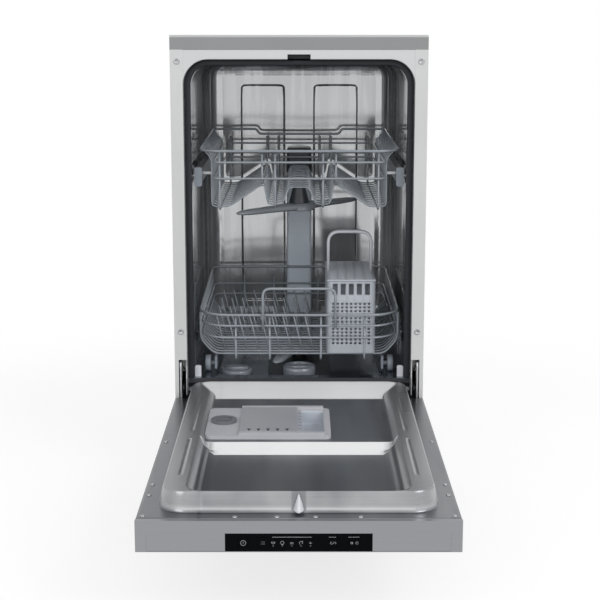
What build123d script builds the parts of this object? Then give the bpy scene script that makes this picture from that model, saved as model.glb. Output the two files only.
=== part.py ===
"""Slim built-in dishwasher with its door open: cabinet, tub, door, baskets, spray arms and wet works.

Millimetres. +Z is up and the front faces -Y. The origin is on the floor, in the middle of the open
machine's footprint. The value `front` places the cabinet's front plane, and depths behind it are positive.
Heights on the closed door turn into depths on the open one through `opened`.
"""
import os
from math import cos, radians, sin

from build123d import *

# Sheet, fits and the cabinet
sheet = 1.0                  # painted and stainless sheet
clearance = 0.3              # between neighbours that are not joined
fit = 0.06                   # radial running fit of pins and axles
cabinet_width = 448
cabinet_height = 815
cabinet_depth = 500
front_strip = 22             # folded front edge of a side panel
hinge_strip = 7              # what is left of that edge beside the hinge
hinge_slot_top = 238
rear_fold = 15
top_rail_height = 25
top_rail_depth = 30
top_rail_radius = 4
cover_drop = 10              # top cover's level below the front rail
worktop_hole_radius = 2.25
worktop_hole_spacing = 380
rear_emboss_width = 224
rear_emboss_height = 400
rear_emboss_corner = 24
screw_head_radius = 5.5
screw_head = 1.6
screw_radius = 2
screw_length = 8
screw_inset = 12
screw_low = 290              # lower strip screw above the floor
screw_drop = 20              # upper strip screw below the top rail

# Base and feet
foot_height = 26             # floor to the base tray
foot_radius = 18
foot_disc = 8
foot_stem_radius = 5
foot_inset = 38
foot_boss_radius = 12
foot_boss_height = 34
foot_front_depth = 75
foot_rear_depth = 460
base_wall = 3
base_top = 120
base_setback = 42
kick_top = 95
kick_margin = 12
kick_fold = 12

# Door and hinge, heights as on the closed door
hinge_depth = 10
hinge_height = 183
hinge_pin_radius = 4
door_gap = 5                 # front plane to the door's inner flange when closed
door_thickness = 45
door_head_gap = 17
door_bottom = 137
door_side_gap = 0.5
door_tail_margin = 18        # narrows the end that swings in under the tub
door_tail_gap = 2
panel_hole_radius = 2.1
panel_hole_spacing_x = 380
panel_hole_spacing_y = 320
panel_hole_depth = 160

# Door liner
liner_rise = 29
liner_side_gap = 3           # to the tub's mouth when closed
liner_head_gap = 5
liner_corner_step = 2
liner_foot = 177
liner_edge = 6
dish_track_gap = 4           # wheel track to the shallow level that carries the dispenser
dish_depth = 12
dish_slope = 10
dish_ramp = 85               # long ramp at the hinge end
dish_margin = 8
dish_corner = 24
basin_drop = 13              # deeper level towards the door's top
basin_start = 330
basin_slope = 9
basin_margin = 3

# Tub
mouth_margin = 22            # cabinet side to the mouth
mouth_head_margin = 42
mouth_radius = 44
mouth_depth = 33
mouth_step = 8               # mouth to the narrower walls behind it
mouth_head_step = 9
cavity_radius = 40
cavity_depth = 470
back_pan_depth = 40
back_corner = 34
panel_emboss = 3             # two upright panels pressed into the back wall
panel_inner = 31
panel_outer = 121
panel_foot = 250
panel_head_gap = 56
panel_corner = 9
sill_depth = 28
floor_drop = 25              # depth of the floor's folded edge
well_track_gap = 6
well_depth = 13
well_slope = 30
well_front = 48
well_back = 445
well_corner = 40
gasket_width = 11
seal_gap = 0.8
sill_seal_height = 17
sill_seal_gap = 1.6
end_block_width = 11
end_block_depth = 9
end_block_height = 20
end_block_setback = 10

# Latch
latch_width = 48
latch_wall = 4
latch_height = 14
latch_slot = 42
striker_width = 16
striker_height = 18
striker_reach = 14
striker_taper = 3.75
striker_lift = 3

# Baskets and runners
wire = 4
thin_wire = 3
rim_wire = 5
wire_gap = 0.2
upper_front = 35
upper_back = 425
upper_rim = 611
upper_rim_rise = 9
upper_middle_rim = 591
upper_low_rim = 562
upper_rail_gap = 18
upper_flare = 21
upper_flare_rise = 23
upper_floor = 510
upper_ridge = 548
upper_trough = 514
upper_centre = 545
upper_floor_flat = 31        # the hoops' floor, from the side inwards
ridge_outer = 70             # and the folds of its middle, from the centre
ridge_inner = 62
trough_outer = 56
trough_inner = 30
centre_half = 18
floor_runner = 15
ridge_runner = 66
trough_runner = 43
upper_hoops = 13
clip_hoops = (2, 10)         # hoops that the rails are clipped to
hanger_hoops = (7, 10)       # hoops that the feed pipe hangs from
rail_wall_gap = 19
rail_flange = 12
rail_sheet = 1.2
rail_gap = 22                # inside height, which the rollers fill
rail_height = 565
rail_rear = 430
cap_height = 34
cap_depth = 8
cap_overhang = 1.5
roller_width = 6
roller_front_depth = 56
roller_rear_depth = 104
roller_axle_radius = 3
roller_plate = 2.5
roller_plate_size = 26
lower_front = 43
lower_back = 446
lower_wall_gap = 11
lower_rim = 311
lower_rim_rise = 16
lower_middle_rim = 291
lower_low_rim = 269
lower_corner = 34
lower_floor = 230
lower_shoulder = 28
lower_shoulder_width = 25
lower_hoops = 10
lower_hoop_start = 80
lower_hoop_pitch = 39
lower_runners = (-116, -54, 40, 120)
handle_half = 66
handle_top = 361
handle_corner = 10
tine_pitch = 20.6
tine_count = 9
tine_margin = 45
tine_height = 68
tine_lean = 14
tine_rows = (100, 180, 260, 340)
wheel_radius = 15
wheel_width = 10
wheel_wall_gap = 30
wheel_axle_radius = 4
wheel_hoops = (0, 8)        # hoops that the wheel carriers hang from
carrier_gap = 12
carrier_thickness = 4
carrier_length = 28

# Cutlery basket
cutlery_margin = 17
cutlery_width = 90
cutlery_front = 70
cutlery_length = 195
cutlery_height = 135
cutlery_wall = 2
cutlery_corner = 8
cutlery_band = 16
cutlery_slot = 7
cutlery_slot_pitch = 13
cutlery_slot_height = 70
cutlery_window = 9
cutlery_lid_thickness = 4
lid_hole_pitch = 19.5
lid_columns = 4
lid_rows = 9
bail_height = 78
bail_width = 14
bail_thickness = 6
bail_corner = 22

# Spray arms and their feed
arm_depth = 240              # both arms turn at the middle of the tub
arm_thickness = 14
arm_hub_radius = 24
arm_tip_radius = 13
arm_edge = 4
arm_shaft_radius = 7
upper_arm_reach = 147
upper_arm_height = 478
upper_arm_angle = 43
lower_arm_reach = 150
lower_arm_height = 204
lower_arm_angle = 74
jet_length = 9
jet_width = 2.4
jet_deep = 1.5
jet_count = 8
jet_turn = 30
duct_width = 52
duct_thickness = 18
duct_corner = 6
duct_foot = 150
dock_height = 552
dock_head_above = 27
dock_head_below = 57
dock_radius = 20
dock_bore = 10
dock_ring = 3
feed_radius = 11
feed_drop = 26               # dock's height down to the pipe
feed_elbow_width = 40
feed_elbow_depth = 17
feed_elbow_margin = 14

# Sump, filters, salt and the wet works under the floor
filter_depth = 105
filter_radius = 31
filter_bore = 26
filter_top = 201
filter_bottom = 112
filter_handle = 7
sump_radius = 46
sump_wall = 5
sump_flange_radius = 62
sump_flange = 4
sump_bottom = 36
sump_throat_radius = 41
pedestal_radius = 14
strainer_width = 118
strainer_front = 58
strainer_back = 300
salt_margin = 40
salt_depth = 108
salt_neck_radius = 26
salt_cap_radius = 30
salt_cap_height = 10
salt_grip_length = 45
softener_width = 96
softener_length = 150
softener_height = 140
softener_corner = 14
pump_offset = 105
pump_height = 85
pump_radius = 40
volute_radius = 48
volute_depth = 26
pump_front = 150
pump_length = 140
pipe_radius = 14
drain_pump_radius = 18
drain_pump_height = 31
drain_pump_depth = 78
drain_pump_length = 80
valve_margin = 74
valve_width = 40
valve_length = 40
valve_height = 75
inlet_radius = 13.2
inlet_length = 16
inlet_wall = 4
outlet_radius = 10.5
outlet_length = 25
outlet_wall = 3
port_margin = 32
gland_radius = 9
gland_flange_radius = 14
gland_bore = 4.5
gland_length = 14
air_break_front = 150
air_break_length = 240
air_break_bottom = 260
air_break_height = 380
air_break_corner = 24

# Hinge arms, brackets and balance springs
arm_plate = 3
arm_margin = 12
arm_leg_length = 120
arm_leg_height = 30
arm_tail_width = 22
arm_tail_top = 236
cheek = 2.5
cheek_gap = 1.5
cheek_radius = 8.5
bracket_post = 78
bracket_post_width = 20
spring_radius = 5.5
spring_rod_radius = 1.5
spring_start_height = 222
spring_anchor_depth = 330
spring_anchor_height = 108
spring_body_start = 0.34
spring_body_end = 0.86

# Controls and dispenser
fascia_depth = 8
fascia_wall = 2.5
strip_side_margin = 15.5
strip_height = 26
strip_recess = 0.6
strip_margin = 1
window_width = 202
window_thickness = 2.2
key_size = 14
key_thickness = 2
key_stem = 6
key_stem_length = 6
key_places = {"power_button": -76, "programme_button": -49, "extra_button": 47, "start_button": 76}
board_width = 232
board_height = 34
board_thickness = 1.6
board_setback = 11
dispenser_margin = 10
dispenser_width = 201
dispenser_near = 147
dispenser_length = 152
dispenser_rise = 6.5
dispenser_body_depth = 30
dispenser_flange = 10
dispenser_corner = 10
guide_width = 7
guide_rise = 4.5
chamber_inset = 60           # from the dispenser's left edge, as the next ones
chamber_width = 84
chamber_depth = 24
tablet_inset = 153
tablet_width = 38
tablet_margin = 14
lid_inset = 54
lid_width = 93
lid_thickness = 4
cap_inset = 27
cap_radius = 21
cap_thickness = 4
cap_grip = 3

# Places that follow from the sizes above
half_width = cabinet_width / 2
door_top = cabinet_height - door_head_gap
mouth_width = cabinet_width - 2 * mouth_margin
mouth_top = cabinet_height - mouth_head_margin
cavity_width = mouth_width - 2 * mouth_step
cavity_top = mouth_top - mouth_head_step
panel_head = cavity_top - panel_head_gap
liner_width = mouth_width - 2 * liner_side_gap
liner_head = mouth_top - liner_head_gap
liner_corner = mouth_radius - liner_corner_step
door_tail_width = cabinet_width - 2 * door_tail_margin
kick_width = cabinet_width - 2 * kick_margin
strip_width = cabinet_width - 2 * strip_side_margin
arm_inner = half_width - arm_margin
valve_offset = half_width - valve_margin
door_reach = door_top - hinge_height - hinge_depth
front = (door_reach - cabinet_depth) / 2
back = front + cabinet_depth
rail_bottom = cabinet_height - top_rail_height
cover_top = cabinet_height - cover_drop
door_end = front - door_reach
flange_z = hinge_height - hinge_depth - door_gap
door_under = flange_z - door_thickness
track_z = flange_z + liner_rise
liner_face = hinge_depth + track_z - hinge_height
dish_z = track_z - dish_depth
basin_z = dish_z - basin_drop
mouth_half = mouth_width / 2
cavity_half = cavity_width / 2
wheel_inner = cavity_half - wheel_wall_gap
carrier_inner = wheel_inner - carrier_gap
dish_width = 2 * (wheel_inner - dish_track_gap)
well_width = 2 * (wheel_inner - well_track_gap)
salt_offset = salt_margin - well_width / 2
rail_web = cavity_half - rail_wall_gap
upper_half = rail_web - upper_rail_gap
lower_half = cavity_half - lower_wall_gap
tine_start = tine_margin - lower_half
cutlery_left = lower_half - lower_shoulder_width - cutlery_margin - cutlery_width
dispenser_left = dispenser_margin - dish_width / 2
chamber_left = dispenser_left + chamber_inset
tablet_left = dispenser_left + tablet_inset
lid_left = dispenser_left + lid_inset
cap_offset = dispenser_left + cap_inset
dock_head_top = dock_height + dock_head_above
dock_head_bottom = dock_height - dock_head_below
feed_height = dock_height - feed_drop
floor_foot = track_z - floor_drop
well_z = track_z - well_depth
base_floor = foot_height + base_wall
inside_half = half_width - sheet - clearance
pan_front = front + cavity_depth - back_pan_depth
arm_y = front + arm_depth


def opened(height):
    """Depth, with the door open, of what lies at this height on the closed door."""
    return front + hinge_depth + hinge_height - height


def upright(depth):
    """A plane that faces the front at this depth: sketches on it are X across and Z up."""
    return Plane(origin=(0, depth, 0), x_dir=(1, 0, 0), z_dir=(0, -1, 0))


def arch(depth, half, top, radius, foot):
    """A doorway outline on an upright plane: straight sides and foot, round top corners."""
    with BuildSketch(upright(depth)) as outline:
        with BuildLine():
            Line((-half, foot), (half, foot))
            FilletPolyline((half, foot), (half, top), (-half, top), (-half, foot), radius=radius)
        make_face()
    return outline.sketch


def block(x, y, z, mode=Mode.ADD):
    """A box between the low and high values of each axis."""
    with Locations([((x[0] + x[1]) / 2, (y[0] + y[1]) / 2, (z[0] + z[1]) / 2)]):
        Box(x[1] - x[0], y[1] - y[0], z[1] - z[0], mode=mode)


def rod(start, end, radius, mode=Mode.ADD):
    """A round bar from one point to another."""
    run = Vector(*end) - Vector(*start)
    with Locations(Plane(origin=start, z_dir=run)):
        Cylinder(radius, run.length, align=(Align.CENTER, Align.CENTER, Align.MIN), mode=mode)


def flat_sided(start, end, radius, flats=16):
    """A many-sided bar from one point to another, for housings that nothing turns on."""
    run = Vector(*end) - Vector(*start)
    with BuildSketch(Plane(origin=start, z_dir=run)) as section:
        RegularPolygon(radius, flats)
    extrude(section.sketch, amount=run.length)


def bent_wire(points, thickness, flats=8, close=False):
    """A wire with a few flats swept along straight runs, mitred where they meet."""
    start, ahead = Vector(*points[0]), Vector(*points[1])
    with BuildPart() as run:
        with BuildLine():
            Polyline(*points, close=close)
        with BuildSketch(Plane(origin=start, z_dir=ahead - start)):
            RegularPolygon(thickness / 2, flats, rotation=180 / flats)
        sweep(transition=Transition.RIGHT)
    return run.part


def plan_loop(front_depth, back_depth, half, corner, front_z, back_z):
    """Corner points of a basket rim: cut front corners, and a back edge that may stand higher."""
    return [
        (0, front + front_depth, front_z),
        (half - corner, front + front_depth, front_z),
        (half, front + front_depth + corner, front_z),
        (half, front + back_depth, back_z),
        (-half, front + back_depth, back_z),
        (-half, front + front_depth + corner, front_z),
        (-half + corner, front + front_depth, front_z),
    ]


# Cabinet shell
screw_places = [(half_width - screw_inset, height) for height in (screw_low, rail_bottom - screw_drop)]

with BuildPart() as side_panel_right:
    panel_side = (half_width - sheet, half_width)
    block(panel_side, (front, back), (foot_height, rail_bottom))
    block((half_width - front_strip, half_width), (front, front + sheet), (foot_height, rail_bottom))
    block((half_width - rear_fold, half_width), (back - sheet, back), (foot_height, rail_bottom))
    block(
        (half_width - front_strip, half_width - hinge_strip),
        (front, front + sheet),
        (foot_height, hinge_slot_top),
        mode=Mode.SUBTRACT,
    )
    for screw_x, screw_z in screw_places:
        rod((screw_x, front, screw_z), (screw_x, front + sheet, screw_z), screw_radius + fit, Mode.SUBTRACT)

with BuildPart() as side_panel_left:
    mirror(side_panel_right.part, about=Plane.YZ)

with BuildPart() as rear_panel:
    block((-inside_half, inside_half), (back - 2 * sheet, back - sheet), (base_top, rail_bottom))
    with BuildSketch(upright(back - 2 * sheet)):
        with Locations((0, (base_top + rail_bottom) / 2)):
            RectangleRounded(rear_emboss_width, rear_emboss_height, rear_emboss_corner)
    extrude(amount=2 * sheet)
    with BuildSketch(upright(back - sheet)):
        with Locations((0, (base_top + rail_bottom) / 2)):
            inner_width, inner_height = rear_emboss_width - 2 * sheet, rear_emboss_height - 2 * sheet
            RectangleRounded(inner_width, inner_height, rear_emboss_corner - sheet)
    extrude(amount=2 * sheet, mode=Mode.SUBTRACT)

with BuildPart() as top_cover:
    cover_front = front + top_rail_depth + clearance
    block((-half_width, half_width), (cover_front, back), (rail_bottom, cover_top))
    block(
        (-half_width + sheet, half_width - sheet),
        (cover_front + sheet, back - sheet),
        (rail_bottom, cover_top - sheet),
        mode=Mode.SUBTRACT,
    )

with BuildPart() as top_front_rail:
    with BuildSketch(Plane.YZ.offset(-half_width)):
        with Locations((front + top_rail_depth / 2, rail_bottom + top_rail_height / 2)):
            rail_outline = Rectangle(top_rail_depth, top_rail_height)
        fillet(rail_outline.vertices().sort_by(Axis.Y)[-2:].sort_by(Axis.X)[0], top_rail_radius)
    extrude(amount=cabinet_width)
    block(
        (-half_width + sheet, half_width - sheet),
        (front + 2 * sheet, front + top_rail_depth),
        (rail_bottom + sheet, cabinet_height - sheet),
        mode=Mode.SUBTRACT,
    )
    with Locations((0, front + top_rail_depth / 2, cabinet_height)):
        with GridLocations(worktop_hole_spacing, 1, 2, 1):
            Cylinder(worktop_hole_radius, 4 * sheet, mode=Mode.SUBTRACT)

# Base tray, kick plate and feet
base_front = front + base_setback
base_back = back - 2 * sheet - clearance
foot_places = [
    (side * (half_width - foot_inset), front + depth)
    for side in (-1, 1)
    for depth in (foot_front_depth, foot_rear_depth)
]
gland_height = (foot_height + base_top) / 2
outlet_offset = -valve_offset

with BuildPart() as base_tray:
    block((-inside_half, inside_half), (base_front, base_back), (foot_height, base_top))
    block(
        (-inside_half + base_wall, inside_half - base_wall),
        (base_front + base_wall, base_back - base_wall),
        (base_floor, base_top),
        mode=Mode.SUBTRACT,
    )
    front_wall = (base_front, base_front + base_wall)
    block((-inside_half, inside_half), front_wall, (kick_top, base_top), Mode.SUBTRACT)
    for port_x in (valve_offset, outlet_offset):
        block(
            (port_x - port_margin, port_x + port_margin),
            (base_back - base_wall, base_back),
            (base_floor, base_top),
            mode=Mode.SUBTRACT,
        )
    gland_run = (0, base_back - base_wall, gland_height), (0, base_back, gland_height)
    rod(*gland_run, gland_radius + fit, Mode.SUBTRACT)
    for side in (-1, 1):
        anchor = sorted((side * (arm_inner - clearance), side * (inside_half - base_wall)))
        block(
            anchor,
            (front + spring_anchor_depth + clearance, front + spring_anchor_depth + 2 * base_wall),
            (base_floor, base_top),
        )
    for foot_x, foot_y in foot_places:
        block(
            (foot_x - foot_boss_radius, foot_x + foot_boss_radius),
            (foot_y - foot_boss_radius, foot_y + foot_boss_radius),
            (foot_height, foot_height + foot_boss_height),
        )
    for foot_x, foot_y in foot_places:
        rod(
            (foot_x, foot_y, foot_height),
            (foot_x, foot_y, foot_height + foot_boss_height),
            foot_stem_radius + fit,
            Mode.SUBTRACT,
        )

with BuildPart() as kick_plate:
    kick_back = base_front
    block((-kick_width / 2, kick_width / 2), (kick_back - sheet, kick_back), (foot_height, kick_top))
    block((-kick_width / 2, kick_width / 2), (kick_back - kick_fold, kick_back), (kick_top - sheet, kick_top))

with BuildPart() as levelling_feet:
    for foot_x, foot_y in foot_places:
        flat_sided((foot_x, foot_y, 0), (foot_x, foot_y, foot_disc), foot_radius)
        rod((foot_x, foot_y, foot_disc), (foot_x, foot_y, foot_height + foot_boss_height), foot_stem_radius)

# Tub: folded wrapper, pressed back and pressed floor
wrapper_end = front + mouth_depth

with BuildPart() as tub_wrapper:
    flange_front = front + sheet
    flange = arch(flange_front, inside_half, rail_bottom - clearance, top_rail_radius, hinge_slot_top)
    extrude(flange, amount=-sheet)
    rim = arch(flange_front, mouth_half + sheet, mouth_top + sheet, mouth_radius + sheet, floor_foot)
    extrude(rim, amount=-(mouth_depth - sheet))
    walls = arch(wrapper_end, cavity_half + sheet, cavity_top + sheet, cavity_radius + sheet, floor_foot)
    extrude(walls, amount=-(pan_front - wrapper_end))
    mouth = arch(flange_front, mouth_half, mouth_top, mouth_radius, floor_foot)
    extrude(mouth, amount=-(mouth_depth - 2 * sheet), mode=Mode.SUBTRACT)
    hollow = arch(flange_front, cavity_half, cavity_top, cavity_radius, floor_foot)
    extrude(hollow, amount=-(pan_front - flange_front), mode=Mode.SUBTRACT)
    block(
        (-latch_slot / 2, latch_slot / 2),
        (flange_front, wrapper_end - 2 * sheet),
        (mouth_top - sheet, mouth_top + latch_height),
        mode=Mode.SUBTRACT,
    )
    for side in (-1, 1):
        for screw_x, screw_z in screw_places:
            start = (side * screw_x, flange_front, screw_z)
            rod(start, (side * screw_x, flange_front + sheet, screw_z), screw_radius + fit, Mode.SUBTRACT)

with BuildPart() as strip_screws:
    for screw_x, screw_z in screw_places:
        flat_sided((screw_x, front - screw_head, screw_z), (screw_x, front, screw_z), screw_head_radius)
        flat_sided((screw_x, front, screw_z), (screw_x, front + screw_length, screw_z), screw_radius, flats=8)
    mirror(about=Plane.YZ)

with BuildPart() as tub_back:
    pan = arch(pan_front, cavity_half + sheet, cavity_top + sheet, cavity_radius + sheet, floor_foot)
    extrude(pan, amount=-(back_pan_depth + sheet))
    rear_edges = tub_back.faces().sort_by(Axis.Y)[-1].edges()
    fillet(rear_edges.sort_by(Axis.Z)[1:], back_corner + sheet)
    open_faces = [tub_back.faces().sort_by(Axis.Y)[0], tub_back.faces().sort_by(Axis.Z)[0]]
    offset(amount=-sheet, openings=open_faces)
    panel_middle = (panel_inner + panel_outer) / 2
    panel_places = [(side * panel_middle, (panel_foot + panel_head) / 2) for side in (-1, 1)]
    with BuildSketch(upright(front + cavity_depth + sheet)):
        with Locations(panel_places):
            RectangleRounded(panel_outer - panel_inner, panel_head - panel_foot, panel_corner)
    extrude(amount=-panel_emboss)
    with BuildSketch(upright(front + cavity_depth)):
        with Locations(panel_places):
            inner_width = panel_outer - panel_inner - 2 * sheet
            RectangleRounded(inner_width, panel_head - panel_foot - 2 * sheet, panel_corner - sheet)
    extrude(amount=-panel_emboss, mode=Mode.SUBTRACT)

floor_half = cavity_half - clearance
floor_back = front + cavity_depth - clearance
duct_y = front + cavity_depth - clearance - duct_thickness / 2


def floor_outline(height, inset):
    """The floor's plan with its rounded back corners, drawn in by `inset`."""
    low, high = front + sill_depth + inset, floor_back - inset
    with BuildSketch(Plane.XY.offset(height)) as outline:
        with Locations((0, (low + high) / 2)):
            plate = Rectangle(2 * (floor_half - inset), high - low)
        fillet(plate.vertices().sort_by(Axis.Y)[-2:], back_corner - clearance - inset)
    return outline.sketch


def well_outline(height, grow):
    """The floor's sunk well in plan, grown by one sheet for its underside."""
    with BuildSketch(Plane.XY.offset(height)) as outline:
        with Locations((0, front + (well_front + well_back) / 2)):
            RectangleRounded(well_width + 2 * grow, well_back - well_front + 2 * grow, well_corner + grow)
    return outline.sketch


with BuildPart() as floor_core:
    extrude(floor_outline(floor_foot, sheet), amount=floor_drop - sheet)
    extrude(well_outline(track_z - sheet, sheet), amount=-well_depth, taper=well_slope, mode=Mode.SUBTRACT)

with BuildPart() as tub_floor:
    extrude(floor_outline(floor_foot, 0), amount=floor_drop)
    extrude(well_outline(track_z, 0), amount=-well_depth, taper=well_slope, mode=Mode.SUBTRACT)
    add(floor_core.part, mode=Mode.SUBTRACT)
    for hole_x, hole_y, hole_radius in (
        (0, front + filter_depth, sump_throat_radius),
        (0, arm_y, pedestal_radius + clearance),
        (salt_offset, front + salt_depth, salt_neck_radius + clearance),
    ):
        rod((hole_x, hole_y, floor_foot), (hole_x, hole_y, track_z), hole_radius, Mode.SUBTRACT)
    block(
        (-duct_width / 2 - clearance, duct_width / 2 + clearance),
        (duct_y - duct_thickness / 2 - clearance, floor_back),
        (floor_foot, track_z),
        mode=Mode.SUBTRACT,
    )

# Seals round the mouth and along the sill
gasket_front = front + liner_face + seal_gap
gasket_back = wrapper_end - sheet
gasket_half = mouth_half - clearance

with BuildPart() as tub_gasket:
    gasket_foot = track_z + clearance
    outer = arch(gasket_front, gasket_half, mouth_top - clearance, mouth_radius - clearance, gasket_foot)
    extrude(outer, amount=-(gasket_back - gasket_front))
    inner = arch(
        gasket_front,
        gasket_half - gasket_width,
        mouth_top - clearance - gasket_width,
        mouth_radius - clearance - gasket_width,
        gasket_foot,
    )
    extrude(inner, amount=-(gasket_back - gasket_front), mode=Mode.SUBTRACT)

with BuildPart() as sill_seal:
    seal_front = front + liner_face + sill_seal_gap
    with BuildSketch(Plane.YZ.offset(-gasket_half)):
        with BuildLine():
            Polyline(
                (front + sill_depth, track_z - sheet),
                (front + sill_depth, track_z - sill_seal_height),
                (seal_front, track_z - sill_seal_height / 2),
                close=True,
            )
        make_face()
    extrude(amount=2 * gasket_half)

with BuildPart() as seal_end_blocks:
    block_outer = gasket_half - gasket_width
    block(
        (block_outer - end_block_width, block_outer),
        (front + sill_depth + end_block_setback, front + sill_depth + end_block_setback + end_block_depth),
        (track_z, track_z + end_block_height),
    )
    chamfer(seal_end_blocks.edges().group_by(Axis.Z)[-1], end_block_depth / 4)
    mirror(about=Plane.YZ)

with BuildPart() as latch_housing:
    latch_bottom = mouth_top + sheet
    latch_front = front + 2 * sheet
    latch_back = wrapper_end - sheet
    latch_top = latch_bottom + latch_height
    block((-latch_width / 2, latch_width / 2), (latch_front, latch_back), (latch_bottom, latch_top))
    block(
        (-latch_slot / 2 + clearance, latch_slot / 2 - clearance),
        (latch_front, latch_back - latch_wall),
        (latch_bottom, latch_top - latch_wall),
        mode=Mode.SUBTRACT,
    )

# Water duct on the back wall, with the docking head that feeds the upper basket
with BuildPart() as water_duct:
    with BuildSketch(Plane.XY.offset(duct_foot)):
        with Locations((0, duct_y)):
            RectangleRounded(duct_width, duct_thickness, duct_corner)
    extrude(amount=dock_head_bottom - duct_foot)
    with BuildSketch(upright(front + cavity_depth - clearance)):
        with Locations((0, (dock_head_bottom + dock_head_top) / 2)):
            RectangleRounded(duct_width, dock_head_top - dock_head_bottom, duct_corner)
    extrude(amount=duct_thickness)
    dock_face = duct_y - duct_thickness / 2
    rod((0, dock_face, dock_height), (0, dock_face - dock_ring, dock_height), dock_radius)
    rod((0, dock_face - dock_ring, dock_height), (0, duct_y, dock_height), dock_bore, Mode.SUBTRACT)

# Sump, filters and salt
with BuildPart() as sump:
    sump_y = front + filter_depth
    underside = well_z - sheet
    flat_sided((0, sump_y, underside - sump_flange), (0, sump_y, underside), sump_flange_radius)
    flat_sided((0, sump_y, sump_bottom), (0, sump_y, underside - sump_flange), sump_radius)
    block(
        (-pedestal_radius, pedestal_radius),
        (sump_y, arm_y),
        (underside - 3 * pedestal_radius, underside - sump_flange),
    )
    arm_seat = lower_arm_height - clearance
    rod((0, arm_y, underside - 3 * pedestal_radius), (0, arm_y, arm_seat), pedestal_radius)
    rod((0, arm_y, arm_seat), (0, arm_y, lower_arm_height + arm_thickness), arm_shaft_radius)
    pump_port = (sump_radius + pipe_radius, sump_y, pump_height)
    flat_sided((0, sump_y, pump_height), pump_port, pipe_radius)
    drain_y = front + drain_pump_depth
    drain_axis = drain_pump_height + drain_pump_radius
    flat_sided((0, drain_y, drain_axis), (sump_radius, drain_y, drain_axis), sump_wall)
    cup_run = (0, sump_y, sump_bottom + sump_wall), (0, sump_y, underside)
    rod(*cup_run, sump_throat_radius - clearance, Mode.SUBTRACT)

with BuildPart() as filter_plate:
    with BuildSketch(Plane.XY.offset(well_z)):
        with Locations((0, front + (strainer_front + strainer_back) / 2)):
            SlotOverall(strainer_back - strainer_front, strainer_width, rotation=90)
        with Locations((0, front + filter_depth)):
            Circle(filter_radius + clearance, mode=Mode.SUBTRACT)
        with Locations((0, arm_y)):
            Circle(pedestal_radius + clearance, mode=Mode.SUBTRACT)
    extrude(amount=sheet)

with BuildPart() as coarse_filter:
    filter_y = front + filter_depth
    rod((0, filter_y, filter_bottom), (0, filter_y, filter_top), filter_radius)
    rod((0, filter_y, filter_bottom + sump_wall), (0, filter_y, filter_top), filter_bore, Mode.SUBTRACT)
    block(
        (-filter_bore - sheet, filter_bore + sheet),
        (filter_y - filter_handle / 2, filter_y + filter_handle / 2),
        (filter_top - 2 * filter_handle, filter_top - sheet),
    )
    for turn in (45, 135):
        slit = Plane(origin=(0, filter_y, (filter_bottom + well_z) / 2)).rotated((0, 0, turn))
        with Locations(slit):
            Box(3 * filter_radius, filter_handle, well_z - filter_bottom - 4 * sump_wall, mode=Mode.SUBTRACT)

with BuildPart() as salt_cap:
    salt_y = front + salt_depth
    cap_bottom = well_z + sheet
    cap_top = cap_bottom + salt_cap_height
    rod((salt_offset, salt_y, cap_bottom), (salt_offset, salt_y, cap_top), salt_cap_radius)
    chamfer(salt_cap.edges().group_by(Axis.Z)[-1], salt_cap_height / 4)
    block(
        (salt_offset - salt_grip_length / 2, salt_offset + salt_grip_length / 2),
        (salt_y - filter_handle / 2, salt_y + filter_handle / 2),
        (cap_top, cap_top + cap_grip),
    )

with BuildPart() as water_softener:
    with BuildSketch(Plane.XY.offset(base_floor)):
        with Locations((salt_offset, salt_y + softener_length / 4)):
            RectangleRounded(softener_width, softener_length, softener_corner)
    extrude(amount=softener_height - base_floor)
    rod((salt_offset, salt_y, base_floor), (salt_offset, salt_y, cap_bottom - clearance), salt_neck_radius)

# Pumps, valve, outlet, gland and air break
with BuildPart() as circulation_pump:
    pump_y = front + pump_front
    motor_start = pump_y + volute_depth
    motor_end = motor_start + pump_length
    flat_sided((pump_offset, pump_y, pump_height), (pump_offset, motor_start, pump_height), volute_radius)
    flat_sided((pump_offset, motor_start, pump_height), (pump_offset, motor_end, pump_height), pump_radius)
    flat_sided((pump_offset, sump_y, pump_height), (pump_offset, pump_y, pump_height), pipe_radius)
    pump_inlet = (pump_port[0] + clearance, sump_y, pump_height)
    flat_sided(pump_inlet, (pump_offset, sump_y, pump_height), pipe_radius)
    saddle = pump_radius / 2
    for saddle_y in (motor_start + saddle, motor_end - saddle):
        block(
            (pump_offset - saddle, pump_offset + saddle),
            (saddle_y - sump_wall, saddle_y + sump_wall),
            (base_floor, pump_height),
        )

with BuildPart() as drain_pump:
    drain_start = sump_radius + clearance
    drain_stop = drain_start + drain_pump_length
    flat_sided((drain_start, drain_y, drain_axis), (drain_stop, drain_y, drain_axis), drain_pump_radius)
    block(
        (drain_start + sump_wall, drain_stop - sump_wall),
        (drain_y - sump_wall, drain_y + sump_wall),
        (base_floor, drain_axis),
    )

port_face = base_back - sheet
with BuildPart() as inlet_valve:
    valve_back = port_face - inlet_length
    block(
        (valve_offset - valve_width / 2, valve_offset + valve_width / 2),
        (valve_back - valve_length, valve_back),
        (base_floor, valve_height + valve_width / 2),
    )
    fillet(inlet_valve.edges().filter_by(Axis.Z), sump_wall)
    inlet_run = (valve_offset, valve_back, valve_height), (valve_offset, port_face, valve_height)
    rod(*inlet_run, inlet_radius)
    rod(*inlet_run, inlet_radius - inlet_wall, Mode.SUBTRACT)

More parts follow.
